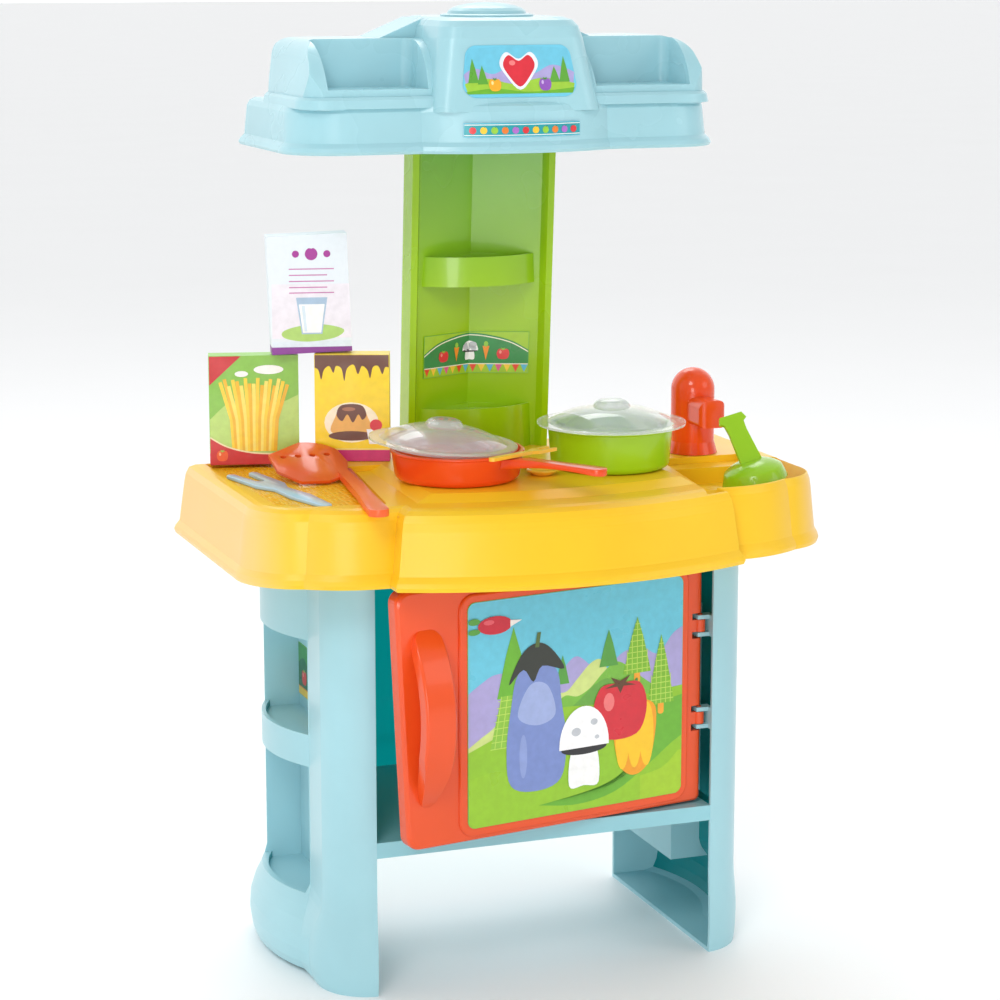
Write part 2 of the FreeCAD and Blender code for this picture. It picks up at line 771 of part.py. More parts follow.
def hood_outline(inset):
    """The hood's rim: round front corners and a bulge between two creases."""
    half, back = cell("hood_half") - inset, cell("hood_back") - inset
    front, crease = cell("hood_front") + inset, cell("hood_crease")
    corner = 38
    return [
        (half, back), (-half, back), (-half, front + corner, corner),
        (-half + corner, front), (-crease, front, 142.2), (crease, front),
        (half - corner, front, corner), (half, front + corner),
    ]


def rounded(half, front, back, radius):
    """A rounded rectangle centred on X = 0."""
    r = radius
    return [
        (half, front + r), (half, back - r, r), (half - r, back), (-half + r, back, r),
        (-half, back - r), (-half, front + r, r), (-half + r, front), (half - r, front, r),
    ]


def niche(side):
    """The cut of one open niche in a wing of the hood."""
    floor, back = cell("niche_floor"), cell("niche_back")
    out, inn = cell("niche_out"), cell("block_half") + 4
    walk = mirrored if side < 0 else (lambda corners: corners)
    levels = []
    for height, spread in ((floor, 0), (cell("block_top") + 10, 4)):
        right, left, rear = out + spread / 2, inn - spread, back + spread
        levels.append((height, walk([
            (right, -40), (right, rear - 7, 7), (right - 7, rear), (left + 7, rear, 7),
            (left, rear - 7), (left, -40),
        ])))
    return loft(f"niche_{'l' if side < 0 else 'r'}", levels)


def make_hood():
    """The hood: a low apron, two wings with open niches, and a raised centre block."""
    low, apron = cell("hood_low"), cell("apron_top")
    wall = cell("wall")
    skirt = loft("hood_apron", [
        (low, hood_outline(1)), (low + 2, hood_outline(0)), (low + 5, hood_outline(1.2)),
        (low + 8, hood_outline(3.6)), (apron - 6, hood_outline(5.4)),
        (apron - 2, hood_outline(7.2)), (apron, hood_outline(10.5)),
    ])
    half, front, back = cell("wing_half"), cell("wing_front"), cell("wing_back")
    top = cell("wing_top")
    side = side_prism("wing_side", [
        (front - 1, apron - 4), (back + 2, apron - 4), (back, top - 8, 9), (back - 8, top),
        (front + 48, top, 50), (front + 1, top - 34),
    ], -170, 170)
    face = front_prism("wing_face", [
        (half + 4, apron - 5), (half - 3, top - 14, 15), (half - 17, top),
        (-half + 17, top, 15), (-half + 3, top - 14), (-half - 4, apron - 5),
    ], -40, 170)
    plan = prism("wing_plan", rounded(half + 3, front - 1, back + 2, 20), apron - 6, top + 5)
    wings = common("wings", common("wings_cut", side, face), plan)
    plinth = loft("wing_plinth", [
        (apron - 3, rounded(half + 7, front - 5, back + 5, 22)),
        (apron + 3, rounded(half + 6, front - 4, back + 4, 22)),
        (apron + 5, rounded(half + 4, front - 2, back + 3, 21)),
    ])
    block_half, block_front = cell("block_half"), cell("block_front")
    block_top = cell("block_top")
    block = loft("block", [
        (apron - 6, rounded(block_half + 4, block_front - 2, back + 2, 14)),
        (block_top - 14, rounded(block_half - 5, block_front + 9, back, 14)),
        (block_top - 6, rounded(block_half - 7, block_front + 12, back - 2, 14)),
        (block_top - 2, rounded(block_half - 10, block_front + 16, back - 5, 14)),
        (block_top, rounded(block_half - 15, block_front + 22, back - 9, 14)),
    ])
    ramps = front_prism("vent_ramps", [
        (block_half + 24, top - 1), (block_half - 12, block_top - 1),
        (-block_half + 12, block_top - 1), (-block_half - 24, top - 1),
    ], back - 54, back - 6)
    niches = fuse("niches", niche(-1), niche(1))
    mass = fuse("hood_mass", skirt, cut("wings_open", fuse("wings_full", wings, plinth), niches),
                block, ramps)
    hollow = fuse(
        "hood_hollow",
        loft("hood_under", [
            (low - 1, hood_outline(3.6 + wall)), (low + 8, hood_outline(4 + wall)),
            (apron - wall, hood_outline(8 + wall)),
        ]),
        prism("wing_rear", rounded(half - 6, cell("niche_back") + 8, back - wall, 10),
              apron - 6, top - 14),
        prism("wing_crown", rounded(half - 19, cell("niche_back") + 8, back - 9, 10),
              top - 15, top - wall),
        prism("wing_low", rounded(half - 5, front + 3, back - 4, 18), apron - 6,
              cell("niche_floor") - wall),
        loft("block_under", [
            (apron - 6, rounded(block_half + 1, block_front + 1, back - 1, 12)),
            (block_top - 14, rounded(block_half - 8, block_front + 12, back - 3, 12)),
            (block_top - wall, rounded(block_half - 18, block_front + 24, back - 12, 12)),
        ]),
    )
    seat_low = cell("tower_high")
    seat = box("hood_seat", (-half - 4, 52, seat_low), (half + 4, back + 19, seat_low + wall))
    bores = [cylinder(f"hood_bore_{i}", (x, tower_wall(seat_low - 7), seat_low - 1),
                      cell("screw_r") + 0.2, 6) for i, x in enumerate(tower_spots())]
    shell = fuse("hood_shell", cut("hood_open", mass, hollow), seat)
    part(cut("hood", shell, fuse("hood_bores", *bores)), "hood")


def spin_body(label, corners, x, y, z):
    """A body turned about its own upright axis from a profile in (radius, height)."""
    body = body_with(label)
    sketch = body_sketch(body, f"{label}_profile", "XZ_Plane", corners)
    turned = body.newObject("PartDesign::Revolution", f"{label}_turned")
    turned.Profile = sketch
    turned.ReferenceAxis = (sketch, ["V_Axis"])
    turned.Angle = 360
    place(body, x, y, z)
    return body


def make_hood_dome():
    """The flanged round cap on top of the hood."""
    r = cell("dome_r")
    top = cell("dome_top") - cell("block_top")
    cap = [((r - 2) * math.sin(math.radians(a)), 2 + (top - 2) * math.cos(math.radians(a)))
           for a in (90, 75, 60, 45, 30, 15)]
    spin_body("hood_dome", [(0, 0), (r + 3, 0), (r + 3, 1.2), (r, 2), *cap, (0, top)],
              0, cell("dome_y"), cell("block_top"))


# ---------------------------------------------------------------- tap


def make_tap():
    """A dome-topped tap with a block spout, on a stem that turns in the worktop."""
    r = cell("tap_r")
    base = cell("top_face") + cell("skin")
    rise = cell("tap_top") - base
    spin_body("tap_body", [
        (0, 0), (r + 2.5, 0), (r + 2, 2), (r, 9), (r, rise - r, r), (0, rise),
    ], cell("tap_x"), cell("tap_y"), base)
    wide = cell("spout_wide") / 2
    x, y = cell("tap_x"), cell("tap_y")
    low, high = cell("spout_low"), cell("spout_high")
    face = front_prism("spout_face", [
        (x + wide, low + 4), (x + wide, high - 7, 7), (x + wide - 7, high),
        (x - wide + 7, high, 7), (x - wide, high - 7), (x - wide, low + 4, 4),
        (x - wide + 4, low), (x + wide - 4, low, 4),
    ], y - 60, y)
    plan = round_prism("spout_plan", cell("spout_wide") + 1, cell("spout_reach") + 8, 6,
                       low - 1, high + 1, x, y - cell("spout_reach") / 2 + 4)
    bore = cylinder("spout_bore", (x, y, low - 1), r, 30)
    part(cut("tap_spout", common("spout_block", face, plan), bore), "tap_spout")
    under = cell("plate_under")
    stem = cylinder("stem_rod", (x, y, under - 9), cell("stem_r"), base - under + 9)
    clip = cylinder("stem_clip", (x, y, under - 4 - cell("skin")), 11, 4)
    part(fuse("tap_stem", stem, clip), "tap_stem")


# ---------------------------------------------------------------- stickers


def make_stickers():
    """Thin printed stickers on the door, hood, tower and leg compartments."""
    front = cell("hinge_y") - cell("door_front") - 2
    door = front_prism("door_sticker", frame_outline(6), front - 0.5, front)
    door_frame(door)
    part(door, "door_sticker")

    half = 46
    low, high = cell("apron_top") + 4, cell("block_top") - 18
    hood = front_prism("hood_sticker", [
        (half - 3, low + 9), (half - 6, high - 8, 9), (half - 14, high), (-half + 14, high, 9),
        (-half + 6, high - 8), (-half + 3, low + 9, 10), (-half + 13, low), (half - 13, low, 10),
    ], -0.5, 0)
    lean = math.degrees(math.atan(11 / 51))
    height = cell("apron_top").number - 6
    tilt = Rotation(Vector(1, 0, 0), -lean)
    pivot = Vector(0, cell("block_front").number - 2.15, height)
    flat = Vector(0, 0, height)
    hood.Placement = Placement(pivot - tilt.multVec(flat), tilt)
    part(hood, "hood_sticker")

    reach = 44
    strip_low = cell("hood_low") + 11.5
    strips = []
    for name, inset in (("outer", 3.0), ("inner", 3.5)):
        y = cell("hood_front") + inset - cell("hood_bulge") + 7.0
        strips.append(prism(f"strip_{name}", [
            (reach, y, ), (reach, y + 12), (-reach, y + 12), (-reach, y, 142.2),
        ], strip_low, strip_low + 10))
    part(cut("hood_strip_sticker", strips[0], strips[1]), "hood_strip_sticker")

    levels = []
    for height in (422, 454):
        f = tower_front(height)
        slope = (cell("vee_deep") - 6) / 48
        side = f + 6 + slope * 6
        levels.append((height, [
            (42, side - 0.8), (42, side - 0.3), (0, f + cell("vee_deep") - 0.3),
            (-42, side - 0.3), (-42, side - 0.8), (0, f + cell("vee_deep") - 0.8),
        ]))
    part(loft("tower_sticker", levels), "tower_sticker")

    wall = cell("bay_wall")
    pair = [box(f"leg_sticker_{side}", (side * (wall + 0.25) - 0.25, 56,
                                       cell("upper_low") + 4),
                (side * (wall + 0.25) + 0.25, 112, cell("upper_low") + 44))
            for side in (-1, 1)]
    part(fuse("leg_stickers", *pair), "leg_stickers")


# ---------------------------------------------------------------- cookware


def spun(name, corners):
    """A free solid turned about +Z from a profile in (radius, height)."""
    sketch = doc.addObject("Sketcher::SketchObject", f"{name}_s")
    add_outline(sketch, corners)
    sketch.Placement = Placement(Vector(), Rotation(Vector(1, 0, 0), 90))
    result = doc.addObject("Part::Revolution", name)
    result.Source = sketch
    result.Axis = Vector(0, 0, 1)
    result.Angle = 360
    result.Solid = True
    return result


def vessel_profile(radius, high):
    """A pan or pot: rounded base, slightly flared wall and a small rim."""
    return [
        (0, 0), (radius - 6.5, 0, 5), (radius - 2.4, 4.2), (radius - 0.4, high - 2.4),
        (radius + 0.6, high - 1.6, 1.3), (radius, high), (radius - 1.8, high),
        (radius - 2.7, high - 3), (radius - 4.8, 5, -4), (radius - 8, 2.4), (0, 2.4),
    ]


def lid_profile(rim):
    """A domed lid with a flange, a locating ring under it and a round knob."""
    ring = rim - 13.5
    return [
        (0, 15.6), (7.5, 15.6), (11, 13.4), (13.4, 10.7, -72), (ring - 2, 0.8), (ring - 2, -4.2),
        (ring, -4.2), (ring, 0), (rim, 0), (rim, 1.6), (rim - 7.4, 1.6, 75), (14, 12.6),
        (12.6, 15, 6), (8.5, 17.5), (0, 17.8),
    ]


def make_cookware():
    """A pan with a stick handle, a pot, and a lid for each."""
    rest = cell("hob_face") + cell("skin")
    for label in ("pan", "pot"):
        vessel = spun(f"{label}_body", vessel_profile(cell(f"{label}_r"), cell(f"{label}_high")))
        place(vessel, cell(f"{label}_x"), cell(f"{label}_y"), rest)
        part(vessel, label)
        lid = spun(f"{label}_lid_body", lid_profile(cell("lid_r") - (1 if label == "pan" else 0)))
        height = rest + cell(f"{label}_high") + cell("skin")
        if label == "pan":
            turn(lid, 4.6, Vector(0.35, 0.937, 0))
            place(lid, cell("pan_x") - 9.4, cell("pan_y") + 3.5, height + 3.6)
        else:
            place(lid, cell("pot_x") + 1, cell("pot_y"), height)
        part(lid, f"{label}_lid")
    reach, wide = cell("pan_reach"), 7.5
    plan = prism("pan_handle_plan", [
        (reach, 0, wide), (reach - wide, wide), (76, 5.5), (52, 6.5), (42, 11), (42, -11),
        (52, -6.5), (76, -5.5), (reach - wide, -wide, wide),
    ], 0, 40)
    side = front_prism("pan_handle_side", [
        (reach + 2, 15), (reach + 2, 20.4), (60, 20.4), (42, 18), (42, 11), (60, 14, -300),
    ], -20, 20)
    bowl = doc.addObject("Part::Cone", "pan_handle_seat")
    r = cell("pan_r")
    bind(bowl, Radius1=r - 2.4, Radius2=r - 0.4, Height=cell("pan_high") - 6.6)
    place(bowl, 0, 0, 4.2)
    handle = cut("pan_handle", common("pan_handle_bar", plan, side), bowl)
    turn(handle, -57.5)
    place(handle, cell("pan_x"), cell("pan_y"), rest)
    part(handle, "pan_handle")


# ---------------------------------------------------------------- cutlery


def stand(thing, x, y, z, degrees, label):
    """Set a loose piece down, turned about the vertical."""
    turn(thing, degrees)
    place(thing, x, y, z)
    part(thing, label)


def make_cutlery():
    """Loose forks, a spoon, a slotted turner and a ladle."""
    board = cell("board_face") + cell("skin")
    tines = [(87, -11.5), (134, -12.4), (137, -9), (134, -5.5), (104, -3.6), (100, 0),
             (104, 3.6), (134, 5.5), (137, 9), (134, 12.4), (87, 11.5)]
    fork = prism("cutlery_fork_plate",
                 [(0, -4), (40, -8), (70, -5.5), *tines, (70, 5.5), (40, 8), (0, 4, 5)], 0, 2.6)
    stand(fork, -164, -66, board, 100.5, "cutlery_fork")

    blade = prism("turner_blade", [
        (28, -4), (26, 14, 26), (0, 30), (-27, 14), (-27, -12), (-14, -30), (6, -31), (22, -24),
    ], 0, 2.4)
    slots = [cylinder(f"turner_slot_{i}", (-17 + 11 * i, 9, -1), 2.4, 5) for i in range(4)]
    head = cut("turner_head", blade, fuse("turner_slots", *slots))
    turn(head, 17.5, Vector(1, 0, 0))
    place(head, -143.5, 45, cell("board_face") + 10.6)
    rod = prism("turner_rod", [
        (0, -7), (58, -5.4), (152, -5.4), (160, 0), (152, 5.4), (58, 5.4), (0, 7, 7.4),
    ], 0, 5)
    turn(rod, 81.6)
    place(rod, -143, -117, cell("top_face") + cell("skin") + 0.1)
    part(fuse("skimmer", head, rod), "skimmer")

    across = cell("hob_face") + 2 * cell("skin") + 20.4
    stick = prism("yellow_fork_plate", [
        (0, -2.6), (40, -2.2), (44, -5), (62, -5), (62, -2.6), (48, -1.4), (48, 1.4),
        (62, 2.6), (62, 5), (44, 5), (40, 2.2), (0, 2.6, 2.9),
    ], 0, 2.4)
    stand(stick, -47, -77, across, 25.9, "yellow_fork")

    bowl = spun("yellow_spoon_bowl", [
        (0, 0), (7, 0), (12.2, 3.4), (11, 4.2), (6.6, 1.6), (0, 1.6),
    ])
    stem = prism("yellow_spoon_stem", [(-3, 10.5), (3, 10.5), (2.6, 60), (4, 88, 4.4), (-4, 88),
                                       (-2.6, 60)], 2.2, 4.2)
    spoon = fuse("yellow_spoon", bowl, stem)
    stand(spoon, 8.5, -32, cell("hob_face") + cell("skin"), 0, "yellow_spoon")

    r = cell("ladle_r")
    dome = spun("ladle_dome", [
        (r, 0), (r - 3, 9, 26), (0, 15), (0, 13), (r - 5, 7.8, -24), (r - 2, 0),
    ])
    grip = prism("ladle_grip_plan", [
        (2, -8.5), (28, -7.2), (35, -7.8), (37, -11), (42, -9), (42, 9), (37, 11), (35, 7.8),
        (28, 7.2), (2, 8.5),
    ], 0, 3)
    turn(grip, -55, Vector(0, 1, 0))
    place(grip, 0, 0, 11)
    ladle = fuse("ladle_upright", dome, grip)
    lean = Rotation(Vector(0, 1, 0), -13)
    ladle.Placement = Placement(Vector(), lean.multiply(Rotation(Vector(0, 0, 1), 90)))
    place(ladle, cell("ladle_x"), cell("ladle_y"), cell("sink_floor") + 9)
    part(ladle, "ladle")


# ---------------------------------------------------------------- food boxes


def make_food_boxes():
    """Three printed cartons; the last stands across the other two."""
    base = cell("top_face") + cell("skin")
    high_base = cell("hob_face") + cell("skin")
    for label, size in (("spaghetti_box", "spag"), ("pudding_box", "pud"), ("milk_box", "milk")):
        carton = doc.addObject("Part::Box", f"{label}_carton")
        bind(carton, Length=cell(f"{size}_w"), Width=cell(f"{size}_d"), Height=cell(f"{size}_h"))
        if label == "spaghetti_box":
            stand(carton, -201, 107.5, base, -14, label)
        elif label == "pudding_box":
            stand(carton, -129.5, 75.5, high_base, -20.4, label)
        else:
            carton.Placement = Placement(Vector(), Rotation(-12, -2.2, 0))
            place(carton, -158, 87, base + cell("spag_h") + 1.4)
            part(carton, label)


# ---------------------------------------------------------------- screws


def screw(name, x, y, seat, tip):
    """An upright screw; its head lies beyond the seat, away from the tip."""
    up = as_size(tip).number > as_size(seat).number
    head_low = seat - 2.4 if up else seat
    low, high = (seat - 1, tip) if up else (tip, seat + 1)
    head = cylinder(f"{name}_head", (x, y, head_low), cell("screw_head"), 2.4)
    return fuse(name, head, cylinder(f"{name}_shank", (x, y, low), cell("screw_r"), high - low))


def make_screws():
    """The screws that hold legs, worktop, tower and hood together."""
    leg_seat = cell("leg_top") - cell("wall")
    legs = [screw(f"leg_screw_{i}", x, y, leg_seat, leg_seat + 13)
            for i, (x, y) in enumerate(boss_spots())]
    part(fuse("leg_screws", *legs), "leg_screws")
    under, hob = cell("plate_under"), cell("hob_face")
    towers = [screw(f"tower_screw_{i}", x, tower_wall(hob + 7), under, hob + 13)
              for i, x in enumerate(tower_spots())]
    part(fuse("tower_screws", *towers), "tower_screws")
    top = cell("tower_high")
    hoods = [screw(f"hood_screw_{i}", x, tower_wall(top - 7), top + cell("wall"), top - 13)
             for i, x in enumerate(tower_spots())]
    part(fuse("hood_screws", *hoods), "hood_screws")


# ---------------------------------------------------------------- build and write

make_worktop()
make_leg("left_leg", -1)
make_leg("right_leg", 1)
make_oven_floor()
make_back_panel()
make_door_panel()
make_door_handle()
make_hinge_lugs()
make_tower()
make_hood()
make_hood_dome()
make_tap()
make_stickers()
make_cookware()
make_cutlery()
make_food_boxes()
make_screws()

doc.recompute()
for thing in doc.Objects:
    if {"Invalid", "Error"} & set(thing.State):
        raise RuntimeError(f"{thing.Name} did not build")
for thing in subparts:
    if thing.Shape.isNull() or not thing.Shape.isValid():
        raise RuntimeError(f"{thing.Label} has no valid shape")
for thing in subparts:
    thing.Shape.exportStep(f"parts/{thing.Label}.step")
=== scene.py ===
import math

import bmesh
import bpy
from mathutils import Matrix, Vector


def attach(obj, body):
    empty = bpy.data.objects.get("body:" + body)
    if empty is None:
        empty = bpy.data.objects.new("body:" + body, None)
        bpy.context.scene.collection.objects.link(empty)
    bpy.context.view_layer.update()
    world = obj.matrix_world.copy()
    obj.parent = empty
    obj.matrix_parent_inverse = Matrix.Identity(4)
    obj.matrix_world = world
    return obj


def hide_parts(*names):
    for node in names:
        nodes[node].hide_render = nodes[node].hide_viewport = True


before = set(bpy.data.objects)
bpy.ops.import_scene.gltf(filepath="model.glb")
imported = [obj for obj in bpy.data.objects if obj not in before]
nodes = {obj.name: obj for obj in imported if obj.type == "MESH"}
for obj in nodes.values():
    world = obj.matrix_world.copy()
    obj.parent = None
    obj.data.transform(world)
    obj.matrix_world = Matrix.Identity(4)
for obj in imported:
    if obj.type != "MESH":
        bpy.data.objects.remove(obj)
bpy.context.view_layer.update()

MM = 0.001


# ---------------------------------------------------------------- colour and materials


def srgb(r, g, b):
    """An 8-bit screen colour as linear RGBA."""
    def linear(c):
        c /= 255.0
        return c / 12.92 if c <= 0.04045 else ((c + 0.055) / 1.055) ** 2.4
    return (linear(r), linear(g), linear(b), 1.0)


class Nodes:
    """Short calls for building one material's node tree."""

    def __init__(self, name):
        self.material = bpy.data.materials.new(name)
        self.material.use_nodes = True
        self.tree = self.material.node_tree
        self.shader = self.tree.nodes["Principled BSDF"]

    def add(self, kind, **values):
        node = self.tree.nodes.new(kind)
        for key, value in values.items():
            setattr(node, key, value)
        return node

    def link(self, a, b):
        self.tree.links.new(a, b)

    def noise(self, scale, detail=3.0, coords=None):
        node = self.add("ShaderNodeTexNoise")
        node.inputs["Scale"].default_value = scale
        node.inputs["Detail"].default_value = detail
        self.link(coords or self.coords(), node.inputs["Vector"])
        return node.outputs["Fac"]

    def coords(self):
        if not hasattr(self, "_coords"):
            self._coords = self.add("ShaderNodeTexCoord").outputs["Object"]
        return self._coords

    def spread(self, value, low, high, out_low, out_high):
        node = self.add("ShaderNodeMapRange")
        node.clamp = True
        for socket, number in (("From Min", low), ("From Max", high),
                               ("To Min", out_low), ("To Max", out_high)):
            node.inputs[socket].default_value = number
        self.link(value, node.inputs["Value"])
        return node.outputs["Result"]

    def mix(self, factor, a, b):
        node = self.add("ShaderNodeMix", data_type="RGBA")
        for socket, value in ((node.inputs[0], factor), (node.inputs[6], a), (node.inputs[7], b)):
            if isinstance(value, (int, float, tuple)):
                socket.default_value = value
            else:
                self.link(value, socket)
        return node.outputs[2]

    def math(self, operation, a, b=0.0):
        node = self.add("ShaderNodeMath", operation=operation)
        for socket, value in ((node.inputs[0], a), (node.inputs[1], b)):
            if isinstance(value, (int, float)):
                socket.default_value = value
            else:
                self.link(value, socket)
        return node.outputs[0]

    def axis(self, source, letter):
        node = self.add("ShaderNodeSeparateXYZ")
        self.link(source, node.inputs[0])
        return node.outputs[letter]

    def place(self, letter):
        return self.axis(self.coords(), letter)

    def normal(self, letter):
        return self.axis(self.add("ShaderNodeNewGeometry").outputs["Normal"], letter)

    def bump(self, height, strength, distance, under=None):
        """A bump from a height; under is a bump that this one lies on."""
        node = self.add("ShaderNodeBump")
        node.inputs["Strength"].default_value = strength
        node.inputs["Distance"].default_value = distance
        self.link(height, node.inputs["Height"])
        if under:
            self.link(under, node.inputs["Normal"])
        return node.outputs["Normal"]

    def surface(self, **sources):
        """Link outputs to the shader; a name's underscores stand for spaces."""
        for name, source in sources.items():
            self.link(source, self.shader.inputs[name.replace("_", " ")])


def moulded(name, colour, rough=0.26, coat=0.15, milk=0.0, tint=None):
    """Injection-moulded plastic: faint flow shades, fine grain and uneven gloss.

    tint(nodes, colour_socket) may return another colour socket; milk is how far
    light goes into the wall.
    """
    n = Nodes(name)
    flow = n.spread(n.noise(7.0, 4.0), 0.3, 0.7, 0.0, 1.0)
    deep = tuple(c * 0.93 for c in colour[:3]) + (1.0,)
    pale = tuple(min(1.0, c * 1.05) for c in colour[:3]) + (1.0,)
    shade = n.mix(flow, deep, pale)
    if tint:
        shade = tint(n, shade)
    gloss = n.spread(n.noise(16.0, 2.0), 0.3, 0.7, rough - 0.02, rough + 0.03)
    n.surface(Base_Color=shade, Roughness=gloss)
    n.shader.inputs["Coat Weight"].default_value = coat
    n.shader.inputs["Coat Roughness"].default_value = 0.05
    n.shader.inputs["Specular IOR Level"].default_value = 0.4
    if milk:
        n.shader.inputs["Subsurface Weight"].default_value = milk
        n.shader.inputs["Subsurface Radius"].default_value = (0.012, 0.012, 0.012)
        n.shader.inputs["Subsurface Scale"].default_value = 0.6
    wave = n.bump(n.noise(14.0, 1.0), 0.06, 0.0004)
    n.surface(Normal=n.bump(n.noise(420.0, 2.0), 0.03, 0.0001, wave))
    return n.material


# Painted shade: the deep teal painted on aqua faces that lie in shade inside the legs.
PAINTED_SHADE_TEAL = srgb(0, 146, 150)


def painted_end_highlight(n, shade):
    """Painted highlight: the yellow top is painted paler and pinker round its two ends and rounded
    edges, where they catch the light.
    """
    sideways = n.math("ABSOLUTE", n.normal("X"))
    along = n.spread(n.math("ABSOLUTE", n.place("X")), 0.14, 0.215, 0.0, 1.0)
    amount = n.math("MULTIPLY", n.spread(sideways, 0.35, 0.9, 0.0, 0.75), along)
    return n.mix(amount, shade, srgb(255, 208, 140))


def painted_inner_leg_shade(n, shade):
    """Painted shade: faces of the shell legs that look inwards, past their outer wall, are painted
    deep teal for the shade inside the legs.
    """
    inward = n.math("MULTIPLY", n.normal("X"), n.math("SIGN", n.place("X")))
    deep_in = n.spread(inward, -0.35, -0.65, 0.0, 1.0)
    near = n.spread(n.math("ABSOLUTE", n.place("X")), 0.1305, 0.1325, 0.0, 1.0)
    return n.mix(n.math("MULTIPLY", deep_in, near), shade, PAINTED_SHADE_TEAL)


def painted_tray_end_shade(n, shade):
    """Painted shade: the tray's tabs inside the legs are painted teal for the shade there."""
    past = n.spread(n.math("ABSOLUTE", n.place("X")), 0.1303, 0.1306, 0.0, 1.0)
    return n.mix(past, shade, PAINTED_SHADE_TEAL)


def painted_hood_shade(n, shade):
    """Painted shade: the tower is painted from lime at the worktop to a darker leaf green under
    the hood, where the hood shades it.
    """
    high = n.spread(n.place("Z"), 0.47, 0.60, 0.0, 0.85)
    inner = n.spread(n.math("ABSOLUTE", n.place("X")), 0.046, 0.051, 1.0, 0.15)
    return n.mix(n.math("MULTIPLY", high, inner), shade, srgb(104, 176, 62))


AQUA = srgb(166, 212, 221)
AQUA_DEEP = srgb(150, 206, 216)
YELLOW = srgb(252, 200, 34)
ORANGE = srgb(238, 78, 22)
LIME = srgb(160, 202, 10)

looks = {
    "hood": moulded("aqua_hood", AQUA, 0.27, 0.08, 0.12),
    "legs": moulded("aqua_legs", AQUA, 0.3, 0.06, 0.08, tint=painted_inner_leg_shade),
    "floor": moulded("aqua_floor", AQUA_DEEP, 0.3, 0.2, 0.05, tint=painted_tray_end_shade),
    "teal": moulded("teal_panel", srgb(0, 160, 164), 0.34, 0.1, 0.9),
    "worktop": moulded("yellow_top", YELLOW, 0.34, 0.03, 0.1, tint=painted_end_highlight),
    "weave": moulded("board_yellow", srgb(255, 186, 20), 0.25, 0.15, 0.05),
    "yellow": moulded("yellow_cutlery", srgb(252, 196, 60), 0.25, 0.15, 0.1),
    "orange": moulded("orange_gloss", ORANGE, 0.2, 0.2, 0.05),
    "door": moulded("orange_door", srgb(238, 84, 30), 0.24, 0.3, 0.05),
    "coral": moulded("coral_turner", srgb(240, 96, 34), 0.3, 0.2, 0.08),
    "tower": moulded("lime_tower", LIME, 0.26, 0.25, 0.08, tint=painted_hood_shade),
    "lime": moulded("lime_cookware", srgb(158, 206, 20), 0.22, 0.2, 0.08),
    "ladle": moulded("green_ladle", srgb(150, 200, 28), 0.2, 0.2, 0.1),
    "pale_blue": moulded("pale_blue_cutlery", srgb(176, 212, 234), 0.25, 0.15, 0.1),
}


def paint_glow(material, colour, amount):
    """A painted glow: a constant tinted emission standing for light that soaks through a thin
    panel.
    """
    shader = material.node_tree.nodes["Principled BSDF"]
    shader.inputs["Emission Color"].default_value = colour
    shader.inputs["Emission Strength"].default_value = amount


# Painted light: the teal back panel glows faintly, as if lit through from behind.
paint_glow(looks["teal"], srgb(0, 226, 228), 0.2)


def clear_plastic():
    """Clear, faintly hazy moulded lid."""
    n = Nodes("clear_lid")
    haze = n.spread(n.noise(30.0, 3.0), 0.35, 0.7, 0.03, 0.16)
    tone = n.mix(n.noise(12.0, 2.0), srgb(238, 246, 246), srgb(250, 250, 252))
    n.surface(Base_Color=tone, Roughness=haze)
    n.shader.inputs["Transmission Weight"].default_value = 0.62
    n.shader.inputs["IOR"].default_value = 1.25
    n.shader.inputs["Alpha"].default_value = 0.62
    n.shader.inputs["Coat Weight"].default_value = 0.6
    return n.material


def steel():
    """Zinc-plated screw steel with fine turning marks."""
    n = Nodes("screw_steel")
    marks = n.noise(900.0, 2.0)
    n.shader.inputs["Metallic"].default_value = 1.0
    n.surface(Base_Color=n.mix(marks, srgb(150, 152, 156), srgb(196, 198, 202)),
              Roughness=n.spread(marks, 0.3, 0.7, 0.25, 0.45))
    return n.material


def printed(name, gloss=0.32, fibre=0.0):
    """Ink on film or card: the colour comes from each face's own tint, slightly mottled."""
    n = Nodes(name)
    ink = n.add("ShaderNodeAttribute", attribute_name="tint")
    mottle = n.spread(n.noise(180.0, 3.0), 0.3, 0.7, 0.94, 1.04)
    tone = n.add("ShaderNodeHueSaturation")
    n.link(ink.outputs["Color"], tone.inputs["Color"])
    n.link(mottle, tone.inputs["Value"])
    n.surface(Base_Color=tone.outputs["Color"],
              Roughness=n.spread(n.noise(60.0, 2.0), 0.3, 0.7, gloss - 0.05, gloss + 0.08))
    n.shader.inputs["Coat Weight"].default_value = 0.2
    n.surface(Normal=n.bump(n.noise(500.0, 3.0), 0.1 + fibre, 0.0003))
    return n.material


def board(name, colour, low=None, split=0.0):
    """Bare carton board with fine fibres; low is the ink below a level."""
    n = Nodes(name)
    fibre = n.noise(260.0, 4.0)
    pale = tuple(min(1.0, c * 1.08) for c in colour[:3]) + (1.0,)
    shade = n.mix(fibre, colour, pale)
    if low:
        shade = n.mix(n.spread(n.place("Z"), split, split + 0.0004, 1.0, 0.0), shade, low)
    n.surface(Base_Color=shade, Roughness=n.spread(fibre, 0.3, 0.7, 0.34, 0.5),
              Normal=n.bump(fibre, 0.25, 0.0003))
    return n.material


